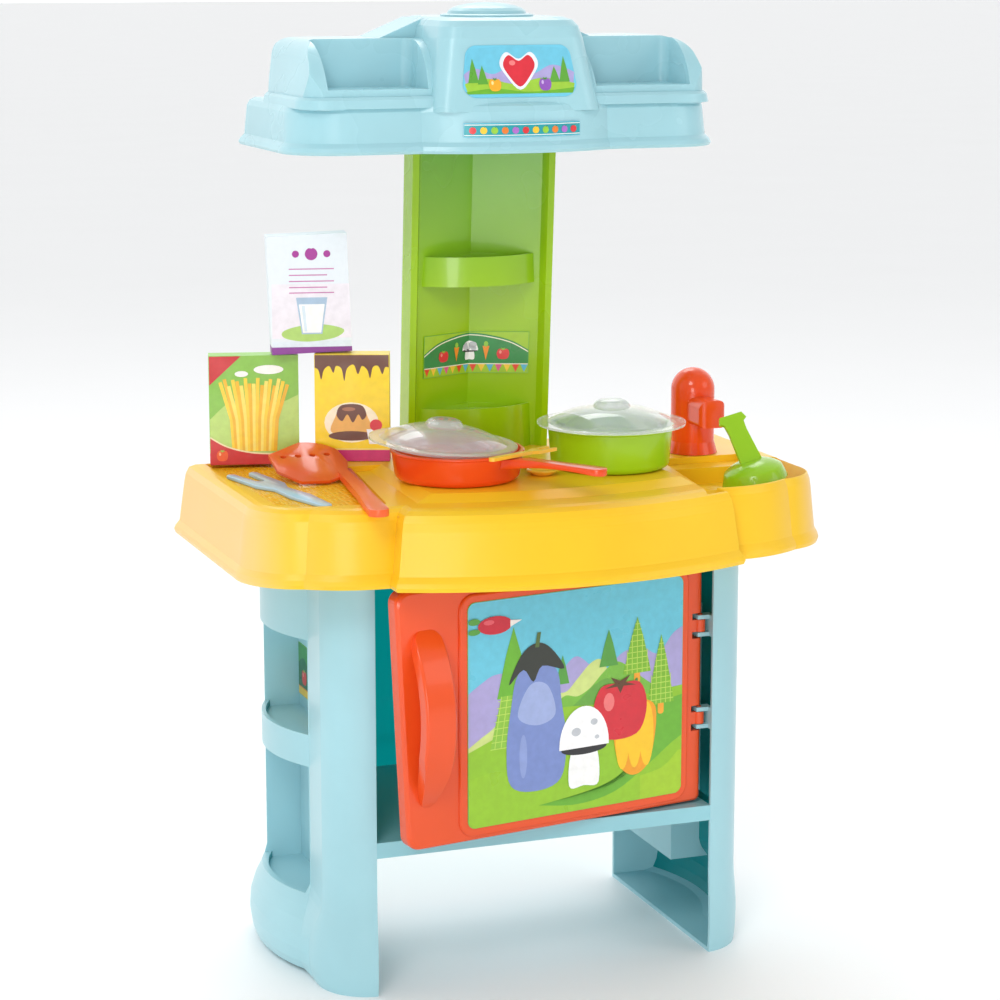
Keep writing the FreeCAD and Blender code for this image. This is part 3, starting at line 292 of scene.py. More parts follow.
looks["clear"] = clear_plastic()
looks["steel"] = steel()
looks["film"] = printed("printed_film")
looks["card"] = printed("printed_card", 0.38, 0.15)
looks["green_board"] = board("green_board", srgb(140, 198, 76), srgb(206, 40, 44), 0.371)
looks["yellow_board"] = board("yellow_board", srgb(254, 216, 36), srgb(206, 44, 120), 0.3748)
looks["white_board"] = board("white_board", srgb(228, 236, 242), srgb(138, 54, 150), 0.4507)
looks["bare_film"] = board("bare_film", srgb(120, 186, 70))
looks["sky_film"] = board("sky_film", srgb(112, 200, 226))


def paint(name, look):
    """Give a CAD node a look."""
    slots = nodes[name].material_slots
    for s in slots:
        s.material = looks[look]
    if not slots:
        nodes[name].data.materials.append(looks[look])


for look, names in {
    "hood": ["hood", "hood_dome"],
    "legs": ["left_leg", "right_leg", "hinge_lugs"],
    "floor": ["oven_floor"],
    "teal": ["back_panel"],
    "worktop": ["worktop"],
    "yellow": ["yellow_fork", "yellow_spoon"],
    "orange": ["pan", "pan_handle", "tap_body", "tap_spout", "tap_stem"],
    "door": ["door_panel", "door_handle"],
    "coral": ["skimmer"],
    "tower": ["tower"],
    "lime": ["pot"],
    "ladle": ["ladle"],
    "pale_blue": ["cutlery_fork"],
    "clear": ["pan_lid", "pot_lid"],
    "steel": ["leg_screws", "tower_screws", "hood_screws"],
    "green_board": ["spaghetti_box"],
    "yellow_board": ["pudding_box"],
    "white_board": ["milk_box"],
    "sky_film": ["hood_sticker", "hood_strip_sticker"],
    "bare_film": ["door_sticker", "tower_sticker", "leg_stickers"],
}.items():
    for name in names:
        paint(name, look)


# ---------------------------------------------------------------- flat printed art


def arc(u, v, ru, rv, start=0.0, end=360.0, count=24):
    """Points round an ellipse, in millimetres."""
    step = (end - start) / (count if end - start >= 360 else count - 1)
    angles = [math.radians(start + step * i) for i in range(count)]
    return [(u + ru * math.cos(a), v + rv * math.sin(a)) for a in angles]


def rect(u0, v0, u1, v1):
    """The corners of a rectangle."""
    return [(u0, v0), (u1, v0), (u1, v1), (u0, v1)]


def round_rect(u0, v0, u1, v1, r):
    """A rectangle with rounded corners."""
    points = []
    for u, v, start in ((u1 - r, v1 - r, 0), (u0 + r, v1 - r, 90), (u0 + r, v0 + r, 180),
                        (u1 - r, v0 + r, 270)):
        points += arc(u, v, r, r, start, start + 90, 6)
    return points


def ground(line, bottom):
    """The ground between a line of points and a level below it."""
    return [(line[0][0], bottom), (line[-1][0], bottom)] + line[::-1]


def smooth(points, steps=6, closed=False):
    """A Catmull-Rom curve through points."""
    result, count = [], len(points)
    for i in range(count if closed else count - 1):
        p = [points[(i + k) % count] if closed else points[min(max(i + k, 0), count - 1)]
             for k in (-1, 0, 1, 2)]
        for t in (s / steps for s in range(steps)):
            result.append(tuple(
                0.5 * (2 * b + (c - a) * t + (2 * a - 5 * b + 4 * c - d) * t * t
                       + (3 * b - a - 3 * c + d) * t * t * t)
                for a, b, c, d in zip(*p)))
    return result if closed else result + [points[-1]]


def clip(points, nu, nv, limit):
    """The part of a polygon where nu * u + nv * v is at most the limit."""
    result = []
    for i, a in enumerate(points):
        b = points[(i + 1) % len(points)]
        da, db = nu * a[0] + nv * a[1] - limit, nu * b[0] + nv * b[1] - limit
        if da <= 0:
            result.append(a)
        if min(da, db) < 0 < max(da, db):
            t = da / (da - db)
            result.append((a[0] + (b[0] - a[0]) * t, a[1] + (b[1] - a[1]) * t))
    return result


def made(name, mesh, material):
    """A scene object from a finished bmesh, with one material."""
    data = bpy.data.meshes.new(name)
    mesh.to_mesh(data)
    mesh.free()
    data.materials.append(material)
    piece = bpy.data.objects.new(name, data)
    bpy.context.scene.collection.objects.link(piece)
    return piece


class Print:
    """Flat inks laid over each other on the face of a CAD node.

    hover(u, v) gives a point a few millimetres in front of the face; border is a
    convex outline walked anticlockwise; folds are the places in u where the face bends.
    """

    LIFT = 0.02        # between one ink and the next, and under the first, mm
    SHORTEST = 0.02    # an outline's steps below this are dropped, mm

    def __init__(self, name, node, hover, border, folds=(), aim=None):
        self.name, self.node, self.hover, self.border = name, nodes[node], hover, border
        self.folds, self.aim = sorted(folds), aim
        self.mesh = bmesh.new()
        self.ink = self.mesh.loops.layers.float_color.new("tint")
        self.layer = 0

    def spot(self, u, v):
        """Where a point of the picture lies on the model, and which way the face looks."""
        front = Vector(self.hover(u, v)) * MM
        hit = False
        if self.aim:
            hit, place, out, _ = self.node.ray_cast(front, self.aim)
        if not hit:
            _, place, _, _ = self.node.closest_point_on_mesh(front)
            out = (front - place).normalized()
        return place + out * (self.LIFT * self.layer + self.LIFT) * MM, out

    def lay(self, points, colour):
        """Add one polygon to the layer that is being printed."""
        for i, a in enumerate(self.border):
            b = self.border[(i + 1) % len(self.border)]
            nu, nv = b[1] - a[1], a[0] - b[0]
            if math.hypot(nu, nv) > 1e-6:
                points = clip(points, nu, nv, nu * a[0] + nv * a[1])
        edges = [-1e6, *self.folds, 1e6]
        for low, high in zip(edges, edges[1:]):
            strip = clip(clip(points, 1, 0, high), -1, 0, -low)
            strip = [p for i, p in enumerate(strip) if math.dist(p, strip[i - 1]) > self.SHORTEST]
            if len(strip) < 3:
                continue
            spots = [self.spot(u, v) for u, v in strip]
            face = self.mesh.faces.new([self.mesh.verts.new(p) for p, _ in spots])
            face.normal_update()
            if face.normal.dot(spots[0][1]) < 0:
                face.normal_flip()
            for loop in face.loops:
                loop[self.ink] = colour

    def ink_shapes(self, colour, *outlines):
        """Print outlines in one ink, over everything printed before."""
        self.layer += 1
        for points in outlines:
            self.lay(points, colour)

    def ink_line(self, colour, width, *paths):
        """Print lines of one width, over everything printed before."""
        self.layer += 1
        for path in paths:
            for a, b in zip(path, path[1:]):
                length = math.dist(a, b)
                if length > 1e-6:
                    du = (b[0] - a[0]) / length * width / 2
                    dv = (b[1] - a[1]) / length * width / 2
                    self.lay([(a[0] + dv, a[1] - du), (b[0] + dv, b[1] - du),
                              (b[0] - dv, b[1] + du), (a[0] - dv, a[1] + du)], colour)

    def finish(self, body, slot):
        """Make the piece and let it ride; a slot name holding carton gives it the card look, any
        other the film look.
        """
        bmesh.ops.triangulate(self.mesh, faces=[f for f in self.mesh.faces if len(f.verts) > 4])
        piece = made(self.name, self.mesh, looks["card" if "carton" in slot else "film"])
        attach(piece, body)
        return piece


def fir(art, u, low, high, half, ink, lattice=None, trunk=None):
    """A pointed fir; a lattice ink crosses it with a grid."""
    if trunk:
        art.ink_shapes(trunk, round_rect(u - 2.6, low - 8, u + 2.6, low + 5, 2))
    side = [(u - half, low), (u + half, low), (u + half * 0.45, low + (high - low) * 0.62),
            (u, high), (u - half * 0.45, low + (high - low) * 0.62)]
    art.ink_shapes(ink, side)
    if lattice:
        lines = []
        level = low + 3
        while level < high - 4:
            reach = half * (1 - (level - low) / (high - low)) ** 0.8
            lines.append([(u - reach, level), (u + reach, level)])
            level += 4.2
        for k in (-2, -1, 0, 1, 2):
            tall = high - 3 - abs(k) * (high - low) * 0.26
            lines.append([(u + k * half * 0.36, low), (u + k * half * 0.36, tall)])
        art.ink_line(lattice, 0.55, *lines)


def aubergine(art, u, v, wide, high):
    """A tall lavender aubergine with a dark cap."""
    body = smooth([(u - wide * 0.46, v + high * 0.05), (u - wide * 0.54, v + high * 0.3),
                   (u - wide * 0.46, v + high * 0.58), (u - wide * 0.34, v + high * 0.8),
                   (u, v + high * 0.87), (u + wide * 0.36, v + high * 0.8),
                   (u + wide * 0.45, v + high * 0.58), (u + wide * 0.54, v + high * 0.3),
                   (u + wide * 0.44, v + high * 0.05), (u, v - high * 0.01)], 5, True)
    art.ink_shapes(srgb(122, 142, 202), body)
    art.ink_shapes(srgb(160, 176, 222),
                   smooth([(u - wide * 0.34, v + high * 0.52), (u - wide * 0.12, v + high * 0.72),
                           (u + wide * 0.2, v + high * 0.7), (u + wide * 0.34, v + high * 0.5),
                           (u, v + high * 0.44)], 6, True))
    art.ink_shapes(srgb(142, 160, 214),
                   arc(u - wide * 0.24, v + high * 0.24, wide * 0.07, high * 0.15))
    cap = [(u - wide * 0.5, v + high * 0.74), (u - wide * 0.24, v + high * 0.83),
           (u - wide * 0.06, v + high * 0.74), (u + wide * 0.1, v + high * 0.84),
           (u + wide * 0.5, v + high * 0.8), (u + wide * 0.26, v + high * 0.95),
           (u, v + high * 1.0), (u - wide * 0.28, v + high * 0.93)]
    art.ink_shapes(srgb(48, 52, 44), smooth(cap, 4, True))
    art.ink_shapes(srgb(86, 110, 50),
                   [(u - 1.6, v + high * 0.97), (u + 1.8, v + high * 0.97),
                    (u + 3.4, v + high * 1.07), (u + 0.4, v + high * 1.07)])


def tomato(art, u, v, r, skin, shine, leaf):
    """A round fruit with a leafy star on top."""
    art.ink_shapes(skin, smooth([(u - r, v), (u - r * 0.72, v + r * 0.8), (u, v + r * 0.86),
                                 (u + r * 0.74, v + r * 0.8), (u + r, v),
                                 (u + r * 0.62, v - r * 0.86), (u - r * 0.62, v - r * 0.86)],
                                5, True))
    art.ink_shapes(shine, arc(u - r * 0.42, v + r * 0.3, r * 0.2, r * 0.3, count=14))
    star = []
    for i in range(10):
        reach = r * (0.62 if i % 2 else 0.2)
        angle = math.radians(18 + 36 * i)
        star.append((u + reach * math.cos(angle), v + r * 0.84 + reach * 0.5 * math.sin(angle)))
    art.ink_shapes(leaf, *[[(u, v + r * 0.84), a, b] for a, b in zip(star, star[1:] + star[:1])])


def mushroom(art, u, v, wide, high):
    """A white mushroom with a dark underside."""
    art.ink_shapes(srgb(250, 250, 248),
                   smooth([(u - wide * 0.3, v), (u - wide * 0.22, v + high * 0.5),
                           (u + wide * 0.22, v + high * 0.5), (u + wide * 0.3, v),
                           (u, v - high * 0.02)], 5, True))
    art.ink_shapes(srgb(40, 40, 42), arc(u, v + high * 0.46, wide * 0.46, high * 0.08))
    dome = arc(u, v + high * 0.5, wide * 0.5, high * 0.5, 0, 180, 20)
    art.ink_shapes(srgb(252, 252, 252), dome + [(u - wide * 0.5, v + high * 0.47),
                                               (u + wide * 0.5, v + high * 0.47)])
    art.ink_shapes(srgb(196, 200, 206), arc(u - wide * 0.16, v + high * 0.68, 4, 3.2, count=14),
                   arc(u + wide * 0.2, v + high * 0.78, 3, 2.4, count=14),
                   arc(u + wide * 0.26, v + high * 0.58, 2, 1.6, count=12))


def pepper(art, u, v, wide, high, skin, shade):
    """A bell pepper of three lobes with a green stalk."""
    art.ink_shapes(shade, smooth([(u - wide * 0.5, v + high * 0.74), (u, v + high * 0.86),
                                  (u + wide * 0.5, v + high * 0.74),
                                  (u + wide * 0.42, v + high * 0.2), (u + wide * 0.16, v),
                                  (u - wide * 0.16, v), (u - wide * 0.42, v + high * 0.2)],
                                 5, True))
    for k in (-1, 0, 1):
        art.ink_shapes(skin, arc(u + k * wide * 0.29, v + high * 0.44, wide * 0.17, high * 0.38))
    art.ink_shapes(srgb(70, 140, 50),
                   smooth([(u - wide * 0.2, v + high * 0.82), (u - 1.2, v + high * 0.9),
                           (u - 0.6, v + high * 1.08), (u + 2.4, v + high * 1.1),
                           (u + 2, v + high * 0.9), (u + wide * 0.22, v + high * 0.82)], 4, True))


DOOR_HINGE = (124.5, -54.5, math.radians(9.8))


def on_door(x, y, z):
    """A point of the closed door where the door stands, ajar."""
    hx, hy, swing = DOOR_HINGE
    dx, dy = x - hx, y - hy
    return (hx + dx * math.cos(swing) - dy * math.sin(swing),
            hy + dx * math.sin(swing) + dy * math.cos(swing), z)


def print_door():
    """A landscape with firs and garden vegetables on the oven door."""
    wide, high = 181.0, 164.5
    art = Print("door_picture", "door_sticker",
                lambda u, v: on_door(u - 74.5, -63.0, v + 126.0),
                round_rect(0.3, 0.3, wide - 0.3, high - 0.3, 5.8))

    def at(*pairs):
        return [(u * wide, v * high) for u, v in pairs]

    art.ink_shapes(srgb(105, 200, 224), rect(0, 0, wide, high))
    for line in ([(0, .6), (.06, .64), (.12, .67), (.2, .66), (.28, .58), (.34, .5)],
                 [(.38, .5), (.43, .64), (.49, .70), (.55, .66), (.6, .6), (.66, .58)],
                 [(.62, .58), (.7, .68), (.8, .70), (.88, .66), (.95, .74), (1, .77)]):
        art.ink_shapes(srgb(172, 164, 214), ground(smooth(at(*line)), 0.3 * high))
    art.ink_shapes(srgb(208, 224, 134),
                   ground(smooth(at((0, .36), (.06, .40), (.12, .44), (.2, .53), (.27, .5))), 30))
    art.ink_shapes(srgb(208, 224, 134),
                   ground(smooth(at((.4, .55), (.45, .55), (.5, .60), (.56, .66), (.61, .67),
                                    (.65, .6), (.7, .5))), 60))
    art.ink_shapes(srgb(122, 188, 62),
                   ground(smooth(at((.38, .48), (.44, .53), (.5, .52), (.56, .55), (.62, .61),
                                    (.68, .65), (.74, .62), (.82, .55), (.9, .5), (1, .5))), 60))
    art.ink_shapes(srgb(104, 168, 62),
                   ground(smooth(at((.48, .48), (.53, .52), (.58, .56), (.64, .58), (.7, .54),
                                    (.76, .5), (.82, .46))), 60))
    art.ink_shapes(srgb(146, 198, 36),
                   ground(smooth(at((0, .34), (.1, .38), (.2, .42), (.3, .45), (.42, .48),
                                    (.6, .47), (.8, .48), (1, .5))), 0))
    meadow = at((0, 0), (1, 0), (1, .2), (.9, .13), (.7, .1), (.5, .08), (.3, .16), (.14, .2),
                (0, .2))
    art.ink_shapes(srgb(166, 206, 36), smooth(meadow, 4, True))
    art.ink_shapes(srgb(150, 200, 36), ground(smooth(at((0, .22), (.2, .24), (.42, .14),
                                                        (.6, .08), (.8, .12))), -20))
    sweep = smooth(at((1.02, .46), (.92, .44), (.84, .4), (.86, .3), (.78, .17), (.66, .09),
                      (.5, .05), (.32, .055)), 8)
    back = smooth(at((.32, .055), (.5, .03), (.68, .06), (.84, .16), (.95, .24), (1.02, .28)), 8)
    far = back[::-1]
    art.ink_shapes(srgb(108, 180, 46), *[[a, b, d, c] for a, b, c, d in
                                         zip(sweep, sweep[1:], far, far[1:])])
    dark, light = srgb(86, 160, 62), srgb(126, 186, 40)
    grid = srgb(196, 226, 96)
    fir(art, .205 * wide, .56 * high, .87 * high, 13.5, srgb(108, 182, 44))
    art.ink_shapes(srgb(140, 196, 60), at((.1, .34), (.2, .34), (.27, .57), (.15, .57)))
    art.ink_line(grid, .55, *[at((.1 + i * .005, .34 + i * .03), (.25, .34 + i * .03))
                              for i in range(8)],
                 *[at((.12 + i * .028, .34), (.15 + i * .028, .57)) for i in range(4)])
    fir(art, .43 * wide, .585 * high, .715 * high, 5.6, dark)
    fir(art, .645 * wide, .635 * high, .80 * high, 8, dark)
    fir(art, .78 * wide, .585 * high, .84 * high, 12, light, grid, srgb(246, 168, 40))
    fir(art, .895 * wide, .43 * high, .745 * high, 11.5, light, grid, srgb(246, 168, 40))
    aubergine(art, .31 * wide, .13 * high, 46, 108)
    pepper(art, .77 * wide, .13 * high, 36, 64, srgb(252, 200, 30), srgb(244, 160, 24))
    tomato(art, .70 * wide, .43 * high, 23, srgb(214, 38, 52), srgb(240, 120, 120),
           srgb(96, 60, 30))
    mushroom(art, .53 * wide, .12 * high, 42, 58)
    radish = .12 * wide
    art.ink_shapes(srgb(206, 30, 52), arc(radish, .89 * high, 14, 6.6, 0, 360, 20))
    art.ink_shapes(srgb(232, 92, 104), arc(radish - 5, .905 * high, 4.4, 1.8, count=12))
    art.ink_shapes(srgb(250, 240, 236), [(radish + 12.4, .905 * high), (radish + 22, .9 * high),
                                         (radish + 12.4, .875 * high)])
    art.ink_shapes(srgb(88, 160, 60), arc(radish - 17, .915 * high, 5, 2.4, count=12),
                   arc(radish - 17, .87 * high, 5, 2.2, count=12))
    return art.finish("door", "door_print")


def print_hood():
    """Sky, hills, firs, a heart and two fruits on the hood."""
    base = 625.0
    art = Print("hood_picture", "hood_sticker",
                lambda u, v: (u, -12.15 + (v - base) * 11 / 51 - 4.0, v + 0.8),
                smooth([(-41, 635.6), (41, 635.6), (42.4, 654), (40, 671), (0, 671.6),
                        (-40, 671), (-42.4, 654)], 1, True))
    art.ink_shapes(srgb(112, 200, 226), rect(-46, 630, 46, 680))
    art.ink_shapes(srgb(176, 166, 216), ground(smooth([(-46, 648), (-34, 655), (-20, 651),
                                                       (-6, 656), (10, 651), (26, 657),
                                                       (46, 650)]), 630))
    art.ink_shapes(srgb(160, 206, 60), ground(smooth([(-46, 643), (-26, 648), (-4, 644),
                                                      (18, 648), (46, 643)]), 630))
    art.ink_shapes(srgb(110, 180, 46), ground(smooth([(-46, 638), (-20, 641), (8, 638.4),
                                                      (46, 641.5)]), 630))
    for u, low, top in ((-35, 645, 662), (-28, 644, 657), (34, 645, 663), (26.5, 645, 656)):
        fir(art, u, low, top, 4, srgb(96, 168, 56))
    heart = smooth([(0, 642), (9, 651), (12, 658), (7.5, 664), (0, 660), (-7.5, 664),
                    (-12, 658), (-9, 651)], 5, True)
    art.ink_shapes(srgb(238, 242, 250), [(p[0] * 1.22, 653 + (p[1] - 653) * 1.2) for p in heart])
    art.ink_shapes(srgb(222, 42, 58), heart)
    art.ink_shapes(srgb(244, 128, 128), arc(-5, 658.6, 2.4, 1.8, count=12))
    tomato(art, -19, 643.5, 4.6, srgb(252, 176, 40), srgb(255, 226, 150), srgb(76, 150, 56))
    tomato(art, 19, 643.5, 4.6, srgb(150, 90, 190), srgb(210, 180, 235), srgb(76, 150, 56))
    return art.finish("kitchen", "small_print")


def print_strip():
    """A teal band with a row of fruit along the hood's lower edge."""
    art = Print("hood_strip_picture", "hood_strip_sticker",
                lambda u, v: (u * 1.03, -23.0 + 7.5 * (u / 44.0) ** 2 - 1.0, v),
                rect(-43.6, 607.9, 43.6, 617.1), [4.0 * k for k in range(-10, 11)])
    art.ink_shapes(srgb(26, 160, 170), rect(-45, 606, 45, 619))
    art.ink_shapes(srgb(236, 246, 244), rect(-45, 615.9, 45, 616.5), rect(-45, 608.5, 45, 609.1))
    inks = [srgb(228, 50, 56), srgb(252, 204, 50), srgb(150, 204, 60), srgb(240, 128, 44),
            srgb(176, 110, 200)]
    for i in range(11):
        u = -38 + 7.6 * i
        art.ink_shapes(inks[i % 5], arc(u, 612.2, 2.5, 2.5, count=14))
        art.ink_shapes(srgb(70, 150, 60), [(u, 614.3), (u + 2.0, 615.5), (u + .6, 614.1)])
    return art.finish("kitchen", "small_print")


def print_tower():
    """A green banner with vegetables and a row of coloured flags on the splash-back."""
    art = Print("tower_picture", "tower_sticker",
                lambda u, v: (u, 0.0, v), rect(-41.6, 422.4, 41.6, 453.6), [0.0],
                Vector((0, 1, 0)))
    art.ink_shapes(srgb(166, 206, 40), rect(-45, 420, 45, 456))
    top = smooth([(-45, 438), (-30, 447), (-14, 451.5), (0, 453), (14, 451.5), (30, 447),
                  (45, 438)])
    art.ink_shapes(srgb(44, 142, 70), ground(top, 429))
    art.ink_line(srgb(248, 244, 220), 0.8, [(a, b - 1.6) for a, b in top])
    flags = [srgb(236, 74, 40), srgb(252, 208, 60), srgb(90, 186, 220), srgb(232, 96, 150),
             srgb(252, 208, 60), srgb(236, 74, 40), srgb(90, 186, 220)]
    for i in range(14):
        u = -42 + 6 * i
        art.ink_shapes(flags[i % 7], [(u + .4, 429), (u + 5.6, 429), (u + 3, 423)])
    art.ink_line(srgb(248, 244, 220), 0.7, [(-44, 429.2), (44, 429.2)])
    tomato(art, -24, 437, 4.4, srgb(226, 52, 52), srgb(244, 150, 140), srgb(150, 206, 70))
    tomato(art, 24, 437, 4.4, srgb(226, 52, 52), srgb(244, 150, 140), srgb(150, 206, 70))
    for u in (-12, 12):
        art.ink_shapes(srgb(250, 150, 40), [(u - 2.4, 443), (u + 2.4, 443), (u, 432)])
        art.ink_shapes(srgb(150, 206, 70), arc(u, 444.5, 1.6, 2.2, count=10))
    mushroom(art, 0, 433, 13, 14)
    return art.finish("kitchen", "small_print")


def print_legs():
    """A little garden picture with a yellow stripe in each leg's upper compartment."""
    for name, side in (("left", -1), ("right", 1)):
        def hover(u, v, side=side):
            return side * 137.0, 84 + side * u, v
        art = Print(f"{name}_leg_picture", "leg_stickers", hover, rect(-27.7, 181.3, 27.7, 220.7))
        art.ink_shapes(srgb(66, 150, 66), rect(-30, 178, 30, 224))
        art.ink_shapes(srgb(40, 108, 62), ground(smooth([(-30, 204), (-14, 211), (2, 203),
                                                         (16, 210), (30, 205)]), 186))
        art.ink_shapes(srgb(252, 208, 60), rect(-30, 181, 30, 187))
        art.ink_line(srgb(240, 130, 40), 0.8, [(-30, 187.4), (30, 187.4)])
        tomato(art, -13, 196, 6, srgb(226, 52, 52), srgb(244, 150, 140), srgb(150, 206, 70))
        pepper(art, 4, 189, 11, 15, srgb(252, 200, 30), srgb(244, 160, 24))
        tomato(art, 18, 195, 5, srgb(250, 150, 40), srgb(255, 214, 150), srgb(150, 206, 70))
        art.finish("kitchen", "small_print")


# ---------------------------------------------------------------- cartons


def carton_hover(corner, yaw, pitch=0.0):
    """A point in front of a turned carton's front face, from across and up."""
    turned = Matrix.Rotation(math.radians(yaw), 4, "Z") @ Matrix.Rotation(
        math.radians(pitch), 4, "X")
    return lambda u, v: Vector(corner) + turned @ Vector((u, -3.0, v))


def print_spaghetti():
    """Green carton front: a fan of pasta, a red corner, a red band and a fruit."""
    wide, high = 66.0, 81.5
    art = Print("spaghetti_front", "spaghetti_box", carton_hover((-201, 107.5, 362.3), -14),
                rect(0.3, 0.3, wide - 0.3, high - 0.3))
    art.ink_shapes(srgb(140, 198, 76), rect(0, 0, wide, high))
    art.ink_shapes(srgb(190, 222, 120), ground(smooth([(0, 34), (18, 48), (36, 40), (66, 52)]), 0))
    for i in range(17):
        foot = 33 + (i - 8) * 1.9
        top = 33 + (i - 8) * 3.1
        ink = (srgb(255, 216, 60), srgb(246, 190, 40), srgb(255, 232, 110))[i % 3]
        art.ink_line(ink, 2.6, [(foot, 10), (33 + (i - 8) * 2.1, 34),
                                (top, 62 + 3 * math.sin(i * 2.3))])
    art.ink_shapes(srgb(250, 250, 246), arc(44, 71, 11, 3.4), arc(24, 68, 5, 2.2))
    art.ink_shapes(srgb(206, 40, 44), [(0, high), (0, high - 22), (24, high)])
    band = smooth([(0, 21), (12, 14), (28, 9.5), (46, 8), (66, 9)])
    art.ink_shapes(srgb(206, 40, 44), ground(band, 0))
    art.ink_line(srgb(250, 236, 190), 1.1, band)
    tomato(art, 9, 7, 4.2, srgb(240, 96, 40), srgb(252, 190, 140), srgb(150, 206, 70))
    return art.finish("spaghetti", "carton_print")


def print_pudding():
    """Yellow carton front: brown drips, a glazed flan and a small cup with a fruit."""
    wide, high = 55.0, 79.5
    art = Print("pudding_front", "pudding_box", carton_hover((-129.5, 75.5, 366.3), -20.4),
                rect(0.3, 0.3, wide - 0.3, high - 0.3))
    art.ink_shapes(srgb(254, 220, 24), rect(0, 0, wide, high))
    drips = smooth([(0, 70), (3, 68), (5, 61), (7, 68), (11, 71), (14, 66), (16, 71), (20, 69),
                    (22, 60), (24, 69), (29, 72), (32, 65), (35, 71), (39, 68), (41, 62),
                    (43, 70), (47, 71), (50, 65), (52, 70), (55, 70)])
    art.ink_shapes(srgb(104, 58, 36), [(wide, high), (0, high)] + drips)
    art.ink_shapes(srgb(255, 244, 214), arc(27, 29, 20, 15))
    art.ink_shapes(srgb(236, 178, 84), smooth([(12, 22), (15, 33), (20, 41), (34, 41), (39, 33),
                                               (42, 22), (27, 19)], 5, True))
    art.ink_shapes(srgb(104, 54, 34), smooth([(16, 35), (20, 42), (34, 42), (38, 35), (35, 31),
                                              (32, 35), (28, 29), (24, 35), (20, 30)], 5, True),
                   arc(27, 19, 17, 3.6))
    art.ink_shapes(srgb(168, 108, 74), arc(25, 39, 5, 1.5, count=14))
    art.ink_shapes(srgb(246, 246, 250), [(40, 13), (50, 13), (52, 24), (38, 24)])
    art.ink_shapes(srgb(222, 40, 56), arc(45, 27, 4.6, 4.4, count=16))
    art.ink_shapes(srgb(206, 44, 120), rect(0, 0, wide, 8.5))
    art.ink_shapes(srgb(252, 226, 120), rect(0, 8.5, wide, 9.7))
    return art.finish("pudding", "carton_print")


def print_milk():
    """White carton front: dots and stripes, a glass of milk and a purple base."""
    wide, high = 59.0, 87.0
    art = Print("milk_front", "milk_box", carton_hover((-158, 87, 445.2), -12, -2.2),
                rect(0.3, 0.3, wide - 0.3, high - 0.3))
    art.ink_shapes(srgb(226, 238, 246), rect(0, 0, wide, high))
    art.ink_shapes(srgb(240, 236, 244), rect(0, 12, wide, 52))
    art.ink_shapes(srgb(176, 214, 110), smooth([(8, 17), (20, 21), (38, 22), (53, 18), (46, 12),
                                                (26, 9.5), (10, 12)], 5, True))
    art.ink_shapes(srgb(170, 196, 220), [(22, 15), (37, 15), (41, 42), (18, 42)])
    art.ink_shapes(srgb(252, 252, 250), [(22.8, 16), (36.2, 16), (39, 37), (20, 37)])
    art.ink_shapes(srgb(216, 232, 242), [(24, 17), (26, 17), (24.4, 36), (22, 36)])
    art.ink_line(srgb(202, 120, 176), 0.8, *[[(13, v), (46 - 5 * (k % 2), v)]
                                            for k, v in enumerate((63, 58.5, 54, 49.5, 45.5))])
    art.ink_shapes(srgb(168, 40, 150), arc(29.5, 74, 4.6, 4.6), arc(18, 74, 2.6, 2.6, count=14),
                   arc(41, 74, 2.6, 2.6, count=14))
    art.ink_shapes(srgb(138, 54, 150), rect(0, 0, wide, 5.5))
    return art.finish("milk", "carton_print")


for print_picture in (print_door, print_hood, print_strip, print_tower, print_legs,
                      print_spaghetti, print_pudding, print_milk):
    print_picture()


# ---------------------------------------------------------------- soft-edged toy tools


def soften(name, body, radius):
    """A copy of a CAD node with its sharp edges rounded, standing for the node."""
    mesh = bmesh.new()
    mesh.from_mesh(nodes[name].data)
    bmesh.ops.remove_doubles(mesh, verts=mesh.verts, dist=1e-5)
    bmesh.ops.dissolve_limit(mesh, angle_limit=math.radians(1.0), verts=mesh.verts,
                             edges=mesh.edges)
    piece = made(f"{name}_soft", mesh, nodes[name].material_slots[0].material)
    bevel = piece.modifiers.new("soft_edges", "BEVEL")
    bevel.width, bevel.segments = radius * MM, 3
    bevel.limit_method, bevel.angle_limit = "ANGLE", math.radians(42)
    bevel.harden_normals = True
    for face in piece.data.polygons:
        face.use_smooth = True
    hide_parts(name)
    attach(piece, body)


soften("skimmer", "turner", 0.9)
soften("pan_handle", "pan", 1.2)
soften("cutlery_fork", "blue_fork", 0.6)
soften("ladle", "ladle", 0.8)


# ---------------------------------------------------------------- chopping board


# The board's floor in two convex outlines, walked anticlockwise, mm.
BOARD = [[(-108, 45), (-203, 45), (-203, -41), (-178, -68), (-124, -76)],
         [(-143, 115), (-203, 115), (-203, 45), (-143, 45)]]
WEAVE_PITCH = 8.2
WEAVE_LOW, WEAVE_HIGH = 359.55, 359.85
WEAVE_CELLS = 40
BAR_LONG, BAR_SHORT, BAR_OFF = 3.8, 1.35, 1.9


def inside(point, outline, margin):
    """True if a point is inside a convex anticlockwise outline, a margin from its sides."""
    for i, a in enumerate(outline):
        b = outline[(i + 1) % len(outline)]
        du, dv = b[0] - a[0], b[1] - a[1]
        if (du * (point[1] - a[1]) - dv * (point[0] - a[0])) / math.hypot(du, dv) < margin:
            return False
    return True


def add_pillow(mesh, x, y, half_x, half_y, low, high):
    """A small raised bar with sloping sides."""
    rings = []
    for grow, z in ((0.0, low), (0.5, high)):
        rings.append([mesh.verts.new(Vector((x + sx * (half_x - grow), y + sy * (half_y - grow),
                                             z)) * MM)
                      for sx, sy in ((-1, -1), (1, -1), (1, 1), (-1, 1))])
    mesh.faces.new(rings[1])
    mesh.faces.new(rings[0][::-1])
    for i in range(4):
        j = (i + 1) % 4
        mesh.faces.new([rings[0][i], rings[0][j], rings[1][j], rings[1][i]])


